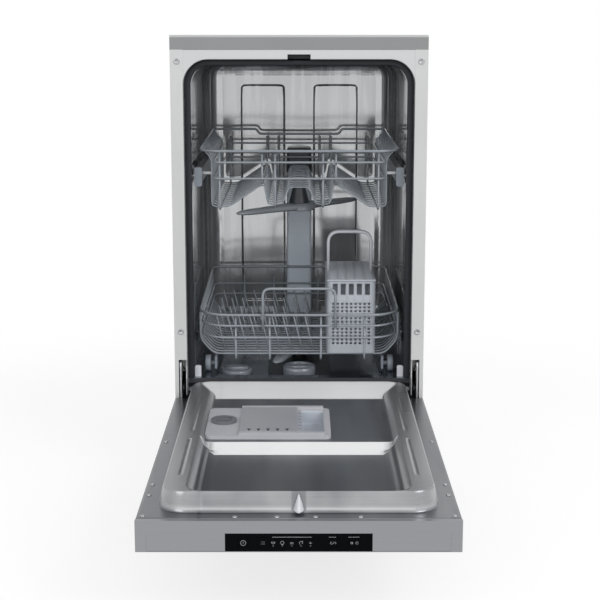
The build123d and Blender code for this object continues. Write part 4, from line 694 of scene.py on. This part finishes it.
# %% Wires and bands
def soften(corners, bend, closed=False, steps=5):
    """Each corner C becomes (1-t)^2 A + 2t(1-t) C + t^2 B, with A and B up to `bend` away along its runs."""
    c = np.asarray(corners, float)
    back, ahead = np.roll(c, 1, 0) - c, np.roll(c, -1, 0) - c
    back_length = np.linalg.norm(back, axis=1, keepdims=True)
    ahead_length = np.linalg.norm(ahead, axis=1, keepdims=True)
    cut = np.minimum(bend, 0.45 * np.minimum(back_length, ahead_length))
    a, b = c + back / back_length * cut, c + ahead / ahead_length * cut
    t = np.linspace(0, 1, steps)[None, :, None]
    path = (1 - t) ** 2 * a[:, None] + 2 * t * (1 - t) * c[:, None] + t**2 * b[:, None]
    if closed:
        return path.reshape(-1, 3)
    return np.vstack([c[:1], path[1:-1].reshape(-1, 3), c[-1:]])


def wire(path, radius, square, closed=False, sides=8, thick=None, power=1.0):
    """Ring points P + r cos a S + q sin a N: S is square to the run and to `square`, N to both; q is r unless
    `thick` makes a flat band. Ends are closed."""
    path = np.asarray(path, float)
    run = np.roll(path, -1, 0) - np.roll(path, 1, 0) if closed else np.gradient(path, axis=0)
    run = run / np.linalg.norm(run, axis=1, keepdims=True)
    across = np.cross(np.broadcast_to(square, run.shape), run)
    across = across / np.linalg.norm(across, axis=1, keepdims=True)
    up = np.cross(run, across)
    cosine, sine = rounded(np.linspace(0, 2 * np.pi, sides, endpoint=False)[None, :, None], power)
    rings = path[:, None] + radius * cosine * across[:, None] + (thick or radius) * sine * up[:, None]
    if not closed:
        start = np.repeat(path[:1, None], sides, 1)
        end = np.repeat(path[-1:, None], sides, 1)
        rings = np.concatenate([start, rings, end])
    return rings, cells(len(rings), sides, closed, True)


def loop_of(right):
    """A closed loop from its right half: the half, then its mirror image back to the start."""
    return right + [(-x, y, z) for x, y, z in right[::-1]]


def rim_loop(front, back, half, corner, front_z, back_z):
    """Corners of a basket rim: cut front corners, and a back edge that may stand higher."""
    return loop_of([(half - corner, front, front_z), (half, front + corner, front_z), (half, back, back_z)])


def runner(x, front, back, top, low, bend):
    """A wire that drops from the rim's front, runs back at the floor and rises to the rim again."""
    corners = [(x, front, top), (x, front, low), (x, back, low), (x, back, top)]
    return wire(soften(corners, bend), loop_wire, across_axis)


def both_sides(half):
    """A whole line from its right half: the mirror image first, then the half from its end back."""
    return [(-x, z) for x, z in half] + half[::-1]


across_axis, depth_axis, up_axis = (1.0, 0.0, 0.0), (0.0, 1.0, 0.0), (0.0, 0.0, 1.0)
rim_wire, loop_wire = 2.5, 2.0
print("a straight wire of 10 mm has", wire([(0, 0, 0), (10, 0, 0)], loop_wire, up_axis)[0].shape)

# %% [markdown]
# ## Upper rack
# Hoops with a W-shaped floor carry cups on both sides. Three loops run round, the back of the rim drops in
# its middle, and long runners tie the hoops.

# %% Upper rack wires
hoop_side = [(176.2, 618), (157, 597), (157, 510), (126, 510), (70, 548)]
hoop_half = hoop_side + [(62, 548), (56, 514), (30, 514), (18, 545)]
cup_wire, hoop_count, hoop_inset, runner_inset = 1.4, 13, 16.2, 4.2
near, far = 35, 425
rim_half = [(153, near, 611), (178, 60, 611), (178, far, 620), (88, far, 620), (82, far, 610)]
upper = [wire(soften(loop_of(rim_half), 14, True), rim_wire, (0.03, 0.05, 1.0), True)]
for level in (591, 562):
    loop = rim_loop(near, far, 152.8, 8, level, level)
    upper.append(wire(soften(loop, 8, True), loop_wire, up_axis, True))
for depth in np.linspace(near + hoop_inset, far - hoop_inset, hoop_count):
    hoop = [(x, depth, z) for x, z in both_sides(hoop_half)]
    upper.append(wire(soften(hoop, 7, steps=3), cup_wire, depth_axis))
for runner_x, low in ((142, 505.8), (66, 552.2), (43, 509.8)):
    for side in (-1, 1):
        upper.append(runner(side * runner_x, near + runner_inset, far - runner_inset, 606, low, 10))
make_piece("upper_rack_wires", upper, "upper_rack", nylon_wire, ("upper_basket",))

# %% [markdown]
# ## Lower rack
# Deeper hoops, a handle at the front and rows of leaning tines for plates.

# %% Lower rack wires
hoop_wire, hoop_drop, hoop_count, runner_inset = 1.9, 2.7, 19, 4.7
near, far, rim_side, rim_corner, near_z, far_z = 43, 446, 183, 34, 311, 327
lower_rim = rim_loop(near, far, rim_side, rim_corner, near_z, far_z)
lower = [wire(soften(lower_rim, 22, True), rim_wire, (0.0, 0.03, 1.0), True)]
for level in (291, 269):
    loop = rim_loop(near, far, 178.8, 30, level, level)
    lower.append(wire(soften(loop, 20, True), loop_wire, up_axis, True))
for depth in np.linspace(80, 431, hoop_count):
    crest = np.interp(depth, (near + rim_corner, far), (near_z, far_z)) - hoop_drop
    line = both_sides([(rim_side, crest), (rim_side, 258), (158, 230)])
    lower.append(wire(soften([(x, depth, z) for x, z in line], 12), hoop_wire, depth_axis))
for runner_x in (-116, -54, 40, 120):
    lower.append(runner(runner_x, near + runner_inset, far - runner_inset, near_z - hoop_drop, 225.8, 12))
grip = both_sides([(66, 287), (66, 361)])
lower.append(wire(soften([(x, 37.8, z) for x, z in grip], 14), rim_wire, depth_axis, sides=10))
make_piece("lower_rack_wires", lower, "lower_rack", nylon_wire, ("lower_basket",))

# %% Tines
lean, tine_length, tine_wire = np.radians(14), 68, 1.5
first_tine, tine_pitch, tine_count = -138, 20.6, 9
tines = []
for row in (100, 180, 260, 340):
    tines.append(wire([(-158.6, row, 230), (37.1, row, 230)], loop_wire, depth_axis))
    for foot in first_tine + tine_pitch * np.arange(tine_count):
        tip = (foot - tine_length * np.sin(lean), row, 232 + tine_length * np.cos(lean))
        tines.append(wire([(foot, row, 231), tip], tine_wire, depth_axis))
make_piece("tine_wires", tines, "lower_rack", nylon_wire, ("plate_tines",))

# %% [markdown]
# ## Wheels and rollers
# Each wheel is a turned disc with a rounded tread, a dished face and a hub. The profile starts and ends at
# the bore, so that the lathe closes it.


# %% Turned wheels
def wheel(centre, radius, width, bore):
    """A profile of shares of the radius and the width, turned about X: hub, dish, rim and tread, then the
    same back to the bore."""
    shares = [(0.42, 0), (0.5, 0.16), (0.78, 0.16), (0.86, 0), (0.94, 0), (1, 0.12)]
    near_side = [(radius * r, width * w) for r, w in shares]
    far_side = [(r, width - w) for r, w in near_side[::-1]]
    return turned([(bore, 0), *near_side, *far_side, (bore, width), (bore, 0)], centre, 0, 36)


for name, node, body, width, bore in (
    ("front_wheel_pair", "wheels_front", "front_wheels", 10.0, 4.1),
    ("rear_wheel_pair", "wheels_rear", "rear_wheels", 10.0, 4.1),
    ("front_roller_pair", "rollers_front", "front_rollers", 6.0, 3.1),
    ("rear_roller_pair", "rollers_rear", "rear_rollers", 6.0, 3.1),
):
    low, high = extent(node)
    radius, middle = (high[2] - low[2]) / 2, (low + high) / 2
    pair = [wheel((left, *middle[1:]), radius, width, bore) for left in (high[0] - width, low[0])]
    make_piece(name, pair, body, plastic_grey, (node,))

# %% [markdown]
# ## Spray arms
# A spray arm is two hollow shells welded together: broad at the hub, thin at the tips, with slanted jets on
# its back. A loft gives it: at each distance along the arm the section is a squared circle whose width and
# thickness follow the distance, and the jets' slits get painted shade by their tone.


# %% Spray arm lofts
def spray_arm(reach, bottom, thickness, angle, centre_depth):
    """Sections at x = u (reach + b) for u from -1 to 1, with b half a blade's width. The half width is
    b + 11 exp(-(3.2 u)^2), the half thickness falls by a fifth towards the tips, and both close there as
    sqrt(1 - u^8)."""
    blade_half, hub_bulge = 12.5, 11
    u = -np.cos(np.linspace(0, np.pi, 90))[:, None]
    around = np.linspace(0, 2 * np.pi, 28, endpoint=False)[None, :]
    close = np.sqrt(np.clip(1 - u**8, 0, 1))
    half_width = (blade_half + hub_bulge * np.exp(-((3.2 * u) ** 2))) * close
    half_thick = (thickness / 2) * (0.8 + 0.2 * np.exp(-((2.2 * u) ** 2))) * close
    cosine, sine = rounded(around, 0.8)
    along = (reach + blade_half) * u
    side = half_width * cosine
    lift = half_thick * sine + thickness / 2
    jets = np.arange(-3.5, 4) * reach / 4
    skew = along - side * 0.7
    # Jet slits on the arm's back get painted shade by their tone; they are not cut.
    painted_slit_shade = np.max([hump(skew - jet, 2.6) for jet in jets], axis=0) * ease((6.0 - np.abs(side)) / 2.0)
    tone = np.where(sine > 0, painted_slit_shade, 0.0)
    c, s = np.cos(np.radians(angle)), np.sin(np.radians(angle))
    x, y = along * c - side * s, centre_depth + along * s + side * c
    return surface(x, y, bottom + lift, closed=True), tone


arm_centre = 240.0
hub_profile = [(0, 0.5), (30, 0.5), (31, 3), (29, 8), (24, 12), (21, 13.8), (0, 13.8)]
for name, node, body, reach, bottom, angle in (
    ("upper_arm_shell", "upper_spray_arm", "upper_arm", 146.5, 478.0, 43),
    ("lower_arm_shell", "lower_spray_arm", "lower_arm", 149.5, 204.0, 74),
):
    loft, tone = spray_arm(reach, bottom, 14.0, angle, arm_centre)
    hub = turned(hub_profile, (0, arm_centre, bottom), 2, 36)
    hub_tone = np.zeros(hub[0].shape[:2])
    make_piece(name, [loft, hub], body, plastic_arm, (node,), tones=[tone, hub_tone])

# %% [markdown]
# ## Cutlery basket
# A moulded box with a row of windows, a fine grid and a lid of slots. The wall is one sheet that runs round
# the box: the grid lines lie on the edges of the holes, the faces inside holes are left out, and Solidify
# gives the wall its thickness.


# %% Pierced walls
def box_path(low, high, corner, x, y):
    """Points of a rounded rectangle, counter-clockwise: `x` and `y` are the stops along its straight runs."""
    turn = np.linspace(0, np.pi / 2, 4)[1:-1]
    in_low, in_high = low + corner, high - corner
    sides = (
        (x, low[1], in_high[0], in_low[1]),
        (high[0], y, in_high[0], in_high[1]),
        (x[::-1], high[1], in_low[0], in_high[1]),
        (low[0], y[::-1], in_low[0], in_low[1]),
    )
    runs = []
    for number, (run_x, run_y, turn_x, turn_y) in enumerate(sides):
        angle = turn + np.pi / 2 * (number - 1)
        runs.append(np.stack(np.broadcast_arrays(run_x, run_y), 1))
        runs.append(np.stack([turn_x + corner * np.cos(angle), turn_y + corner * np.sin(angle)], 1))
    return np.concatenate(runs)


def holes(low, high, count, share):
    """Edges of `count` even holes between two stops; each takes its share of the pitch."""
    pitch = (high - low) / count
    middles = low + pitch * (np.arange(count) + 0.5)
    edges = np.stack([middles - share * pitch / 2, middles + share * pitch / 2], 1)
    return np.concatenate([[low], edges.ravel(), [high]])


def in_holes(values, edges):
    """True where a value lies between the first and second, third and fourth, ... of the inner edges."""
    return np.searchsorted(edges[1:-1], values) % 2 == 1


print("edges of two holes in 10 mm:", holes(0, 10, 2, 0.5))

# %% Cutlery basket walls
basket_low, basket_high = extent("cutlery_basket")
corner, floor_thick = 8.0, 2.0
run_low, run_high = basket_low + corner, basket_high - corner
fine = [holes(run_low[axis], run_high[axis], count, 0.5) for axis, count in enumerate((9, 21))]
wide = [holes(run_low[axis], run_high[axis], count, 0.62) for axis, count in enumerate((5, 11))]
stop_x, stop_y = [np.union1d(fine[axis], wide[axis]) for axis in (0, 1)]
outline = box_path(basket_low, basket_high, corner, stop_x, stop_y)
base, crown = basket_low[2], basket_high[2]
grid_foot, grid_top, window_low, window_high = base + 16, crown - 38, crown - 24, crown - 4
grid_z = holes(grid_foot, grid_top, 12, 0.55)
wall_z = np.unique([base, base + floor_thick, *grid_z, window_low, window_high, crown - 1, crown])
middles = (outline + np.roll(outline, -1, 0)) / 2
box_sides = np.stack([basket_low, basket_high])[:, None, :2]
on_y, on_x = np.any(np.abs(middles - box_sides) < 0.1, axis=0).T
fine_hole, wide_hole = [
    (on_x & in_holes(middles[:, 0], x)) | (on_y & in_holes(middles[:, 1], y)) for x, y in (fine, wide)
]
grid_rows = in_holes(between_lines(wall_z), grid_z)[:, None]
window_rows = within(wall_z, window_low, window_high)[:, None]
pierced_faces = (grid_rows & fine_hole) | (window_rows & wide_hole)
walls = surface(*outline.T, wall_z[:, None], pierced_faces, closed=True)
print("faces left out of the walls:", int(pierced_faces.sum()))

# %% Cutlery basket floor and dividers
floor_x = np.linspace(basket_low[0] + 1, basket_high[0] - 1, 8)
floor_y = np.linspace(basket_low[1] + 1, basket_high[1] - 1, 12)
divider_z = np.linspace(base, crown - 18, 6)
sheets = [walls, surface(floor_x, floor_y[:, None], base + floor_thick)]
for share in (1 / 3, 2 / 3):
    divider_y = basket_low[1] + share * (basket_high[1] - basket_low[1])
    sheets.append(surface(floor_x, divider_y, divider_z[:, None]))
make_piece("cutlery_box", sheets, "cutlery", plastic_pale, ("cutlery_basket",), wall=1.8)

# %% Lid with slots, and the bail
lid_low, lid_high = extent("cutlery_lid")
slot_margin, lid_thick = 5, 3.6
slot_x = holes(lid_low[0] + slot_margin, lid_high[0] - slot_margin, 5, 0.74)
slot_y = holes(lid_low[1] + slot_margin, lid_high[1] - slot_margin, 18, 0.5)
lid_x = np.array([lid_low[0], *slot_x, lid_high[0]])
lid_y = np.array([lid_low[1], *slot_y, lid_high[1]])
slotted = in_holes(between_lines(lid_y), slot_y)[:, None] & in_holes(between_lines(lid_x), slot_x)
lid = surface(lid_x, lid_y[:, None], crown + 3.9, slotted)
make_piece("cutlery_slots", [lid], "cutlery", plastic_pale, ("cutlery_lid",), wall=lid_thick)
bail_inset, bail_foot, bail_top = 4.4, crown + 2, lid_high[2] - 3.2
bail_left, bail_right = lid_low[0] + bail_inset, lid_high[0] - bail_inset
bail_y = (lid_low[1] + lid_high[1]) / 2
bail_line = [(bail_left, bail_foot), (bail_left, bail_top), (bail_right, bail_top), (bail_right, bail_foot)]
bail_path = soften([(x, bail_y, z) for x, z in bail_line], 22, steps=9)
bail = wire(bail_path, 3.0, depth_axis, sides=16, thick=6.8, power=0.55)
make_piece("cutlery_bail", [bail], "cutlery", plastic_white)

# %% [markdown]
# ## Filter and salt cap
# These are turned by hand, so each has a raised grip. The round parts come from the lathe and the grips are
# short bands of the wire function.

# %% Filter
filter_low, filter_high = extent("coarse_filter")
filter_middle = (0.0, (filter_low[1] + filter_high[1]) / 2, filter_low[2])
tall = filter_high[2] - filter_low[2]
cup_outside = [(0, 0), (29, 0), (30.5, 2), (30.5, tall - 22), (30.9, tall - 20), (30.9, tall - 6)]
cup_lip = [(30.0, tall - 1), (28.5, tall), (27.0, tall - 1), (26.2, tall - 4), (26.0, 5), (0, 5)]
cup = turned(cup_outside + cup_lip, filter_middle, 2, 40)
grip_half, grip_drop = 26, 6
grip_ends = [(x, filter_middle[1], filter_high[2] - grip_drop) for x in (-grip_half, grip_half)]
grip_bar = wire(grip_ends, 3.2, up_axis, sides=12, thick=5.0, power=0.6)
make_piece("filter_cup", [cup, grip_bar], "filter", plastic_gloss, ("coarse_filter",))

# %% Salt cap
salt_low, salt_high = extent("salt_cap")
salt_middle = ((salt_low[0] + salt_high[0]) / 2, (salt_low[1] + salt_high[1]) / 2, salt_low[2])
salt_profile = [(0, 0), (29.6, 0), (30, 0.8), (30, 7), (28.8, 9), (26.5, 10), (24, 9.4), (23, 8.2), (0, 8.0)]
salt_disc = turned(salt_profile, salt_middle, 2, 40)
bar_half, bar_lift = 22, 8.6
bar_ends = [(salt_middle[0] + x, salt_middle[1], salt_low[2] + bar_lift) for x in (-bar_half, bar_half)]
salt_bar = wire(bar_ends, 3.4, up_axis, sides=12, thick=4.2, power=0.6)
make_piece("salt_lid_cap", [salt_disc, salt_bar], "salt_lid", plastic_gloss, ("salt_cap",))

# %% [markdown]
# ## The door's latch nose and the tablet tray
# A drop-shaped nose on the rim pushes into the latch when the door closes. It could be carved from a block;
# here each level from its tip down is half a pinched circle that grows, draws in at the foot and closes. The
# lining of the tablet pocket is a thin pale skin: it drops from the dispenser's face to the pocket's floor
# by a smooth step of the distance to the edge, so that the pocket stays open.

# %% Latch nose
nose_low, nose_high = extent("door_striker")
nose_tip = 196.0
fall = np.concatenate([np.linspace(0, 1, 16), [1.0]])[:, None]
grow = np.where(fall < 0.999, fall**0.8, np.sqrt(0.5))
grow[-1] = 0.0
around = np.linspace(np.pi, 2 * np.pi, 13)[None, :]
round_x, round_y = rounded(around, 1.25)
nose_x = nose_high[0] * grow * round_x
nose_y = nose_high[1] + (nose_high[1] - nose_low[1]) * grow * round_y
nose_z = nose_tip - (nose_tip - nose_low[2]) * fall
nose, nose_cells = surface(nose_x, nose_y, nose_z, closed=True)
nose_grid = (nose, nose_cells[..., ::-1])
make_piece("latch_nose", [nose_grid], "door", plastic_white, ("door_striker",))

# %% Tablet tray
body_top, lining_gap, fold = 191.5, 0.6, 1.6
pocket_left, pocket_width, pocket_margin, pocket_depth = body_low[0] + 153.0, 38.0, 14.0, 24.0
pocket_near, pocket_far = body_low[1] + pocket_margin, body_high[1] - pocket_margin
pocket_middle = (pocket_left + pocket_width / 2, (pocket_near + pocket_far) / 2)
pocket_half = (pocket_width / 2 - lining_gap, (pocket_far - pocket_near) / 2 - lining_gap)
steps = np.array([0, 0.4, 0.8, 1.2, fold, 4, 8])
lines = [np.concatenate([m - h + steps, m + h - steps[::-1]]) for m, h in zip(pocket_middle, pocket_half)]
tray_x, tray_y = np.meshgrid(*lines)
tray_edge = inside(tray_x, tray_y, pocket_middle, pocket_half, 0.1)
tray_floor = body_top - pocket_depth + lining_gap
tray_z = tray_floor + (body_top - tray_floor) * (1 - ease(tray_edge / fold))
tray = surface(tray_x, tray_y, tray_z)
make_piece("tablet_tray", [tray], "door", plastic_pale, wall=0.4)

# %% [markdown]
# ## Marks on the dispenser and the glass
# Small generic marks show where things go: arrows on the sliding lid, level ticks beside the tablet chamber,
# and plain pictograms on the black glass. They could be a picture on the surface, but flat bars, rings and
# wedges need no picture. Each lies a tenth of a millimetre above the piece that carries it, and rides on it.


# %% Flat marks
def bar_mark(x, z, half_x, half_z, depth):
    """A rectangle that faces the front."""
    return surface(np.array([x - half_x, x + half_x]), depth, np.array([[z - half_z], [z + half_z]]))


def ring_mark(x, z, radius, width, depth, start=0.0, end=360.0):
    """Part of a flat ring that faces the front, from one angle to another."""
    angle = np.radians(np.linspace(start, end, 25))[None]
    r = np.array([[radius - width / 2], [radius + width / 2]])
    points, faces = surface(x + r * np.cos(angle), depth, z + r * np.sin(angle))
    return points, faces[..., ::-1]


def wedge_mark(x, y, half, length, height):
    """An arrow head that lies flat and points to the front: its rear edge is wide, its front edge narrow."""
    halves = half * np.array([[0.1], [1.0]])
    return surface(x + halves * (-1, 1), np.array([[y - length], [y]]), height)


proud = 0.1
print("marks stand", proud, "mm proud")

# %% Dispenser marks
lid_top = extent("detergent_lid")[1][2]
arrow_y, arrow_half, arrow_length = -276.0, 3.2, 12.0
arrow_places = (-80, -64.7, -49.5, -34.2, -19)
arrows = [wedge_mark(x, arrow_y, arrow_half, arrow_length, lid_top + proud) for x in arrow_places]
make_piece("lid_arrows", arrows, "tablet_lid", plastic_black)
tick_x, tick_half = 0.6, 1.5
ticks = []
for number, y in enumerate(np.linspace(-262, -178, 6)):
    half = 2.0 if number % 2 else 1.2
    across, along = np.array([tick_x - half, tick_x + half]), np.array([[y - tick_half], [y + tick_half]])
    ticks.append(surface(across, along, body_top + proud))
make_piece("level_ticks", ticks, "door", plastic_blue)

# %% Marks on the glass
glass_low, glass_high = extent("control_window")
glass_depth = glass_low[1] - proud
row_z = (glass_low[2] + glass_high[2]) / 2 - 1.0


def bars(places, half_x, half_z):
    """Several rectangles of one size on the glass, each at its (across, above the row)."""
    return [bar_mark(x, row_z + z, half_x, half_z, glass_depth) for x, z in places]


def pictogram(number, x):
    """Five plain programme signs built from rings and bars: pot, plate, glass, bowl and spark."""
    z, d = row_z, glass_depth
    signs = [
        [ring_mark(x, z + 1, 2.2, 0.6, d, 180, 360), *bars([(x, 1.3)], 2.8, 0.3)],
        [ring_mark(x, z + 0.4, 2.3, 0.5, d), *bars([(x, -2.4)], 1.6, 0.3)],
        bars([(x, 0.5), (x, -1.1)], 2.4, 0.3),
        [ring_mark(x, z, 2.2, 0.5, d, -30, 250), *bars([(x + 2.2, 2.2)], 0.4, 0.6)],
        bars([(x, 0)], 2.2, 0.3) + bars([(x, 0)], 0.3, 1.6),
    ]
    return signs[number] + bars([(x, -4.2)], 0.9, 0.3)


fixed_marks = []
line_rise, line_half = 8.5, 0.32
for line_x, half_length in ((-9.5, 27.0), (46, 5.0), (75.5, 7.5)):
    fixed_marks = fixed_marks + bars([(line_x, line_rise)], half_length, line_half)
for number, x in enumerate((-35.0, -22.5, -9.5, 3.0, 16.0)):
    fixed_marks = fixed_marks + pictogram(number, x)
make_piece("glass_marks", fixed_marks, "door", mark_white)
power_x = -76
power_marks = [ring_mark(power_x, row_z, 3.6, 0.6, glass_depth), *bars([(power_x, 0.4)], 0.35, 1.3)]
make_piece("power_mark", power_marks, "power_key", mark_white)
list_rows = (-1.8, 0, 1.8)
list_marks = bars([(-48.4, z) for z in list_rows], 2.2, 0.3) + bars([(-51.6, z) for z in list_rows], 0.4, 0.3)
make_piece("list_mark", list_marks, "programme_key", mark_faint)
extra_marks = []
for x, start in ((44.8, 60), (49.2, -60)):
    extra_marks.append(ring_mark(x, row_z, 1.6, 0.5, glass_depth, start, start + 290))
make_piece("extra_mark", extra_marks, "extra_key", mark_white)
start_marks = bars([(71.6, 0), (73.4, 0)], 0.5, 1.6) + [ring_mark(79.6, row_z, 1.7, 0.5, glass_depth)]
make_piece("start_mark", start_marks, "start_key", mark_white)

# %% [markdown]
# ## Floor, light and camera
# A pale floor, a white background and soft studio light. Near the machine the floor keeps the shadow, and
# further out its glow rises to the white of the background. Only the camera, reflections and glass see that
# glow, so it lights nothing, and they see the background brighter than the light it gives. The camera is
# fitted to the photograph: a little higher than the machine, and a long way back.

# %% Floor and background
floor_mesh = bpy.data.meshes.new("floor")
reach = 9.0
floor_corners = [(-reach, -reach, 0), (reach, -reach, 0), (reach, reach, 0), (-reach, reach, 0)]
floor_mesh.from_pydata(floor_corners, [], [(0, 1, 2, 3)])
floor = in_scene("floor", floor_mesh)
floor_finish = Finish("floor_pale", Roughness=0.7, Emission_Strength=1.0)
length = {"operation": "LENGTH"}
distance = floor_finish.node("ShaderNodeVectorMath", length, {0: floor_finish.place}, "Value")
far = floor_finish.step(distance, 0.7, 1.5)
pale = floor_finish.between(floor_finish.noise(2.0), (0.30, 0.30, 0.30), (0.32, 0.32, 0.32))
glow = floor_finish.between(far, (0.74, 0.74, 0.74), (1.0, 1.0, 1.0))
floor_finish.set("Base Color", floor_finish.between(far, pale, (0.0, 0.0, 0.0)))
floor_finish.set("Emission Color", floor_finish.between(floor_finish.seen(), (0.0, 0.0, 0.0), glow))
floor_finish.set("Specular IOR Level", 0.0)
floor_mesh.materials.append(floor_finish.material)

room_light = 0.62
world = bpy.data.worlds.new("studio")
bpy.context.scene.world = world
world.use_nodes = True
sky = Tree(world.node_tree)
background = world.node_tree.nodes["Background"]
background.inputs["Color"].default_value = (1, 1, 1, 1)
sky.feed(background.inputs["Strength"], room_light + (1 - room_light) * sky.seen())
print("floor and background are white")


# %% Lamps
def lamp(name, place, aim, size, power, mirrored=True):
    """A square soft light that looks at a point; one that is not mirrored leaves no white patch on steel."""
    data = bpy.data.lights.new(name, "AREA")
    data.size = size
    data.energy = power
    made = in_scene(name, data)
    made.location = place
    made.visible_glossy = mirrored
    made.rotation_euler = (Vector(aim) - Vector(place)).to_track_quat("-Z", "Y").to_euler()


lamp("key", (2.1, -2.3, 2.3), (0, -0.1, 0.4), 1.5, 40)
lamp("fill", (-1.6, -2.6, 1.5), (0, 0.1, 0.4), 1.4, 15)
lamp("front", (0.2, -3.6, 1.1), (0, 0.2, 0.45), 1.4, 20, False)
print("lights:", len(bpy.data.lights))

# %% Camera
sensor = 36.0
image_width = 600
focal_pixels = 1324.0
camera_data = bpy.data.cameras.new("camera")
camera = in_scene("camera", camera_data)
bpy.context.scene.camera = camera
camera_data.sensor_width = sensor
camera_data.lens = sensor * focal_pixels / image_width
camera_place, camera_tilt = (1.7, -2316.7, 835.5), 10.32
camera.location = to_frame(camera_place)
camera.rotation_euler = Euler((np.radians(90 - camera_tilt), 0, 0))
camera_data.shift_y = -0.06
bpy.context.scene.view_settings.view_transform = "Standard"
print("camera at", tuple(round(v, 3) for v in camera.location))
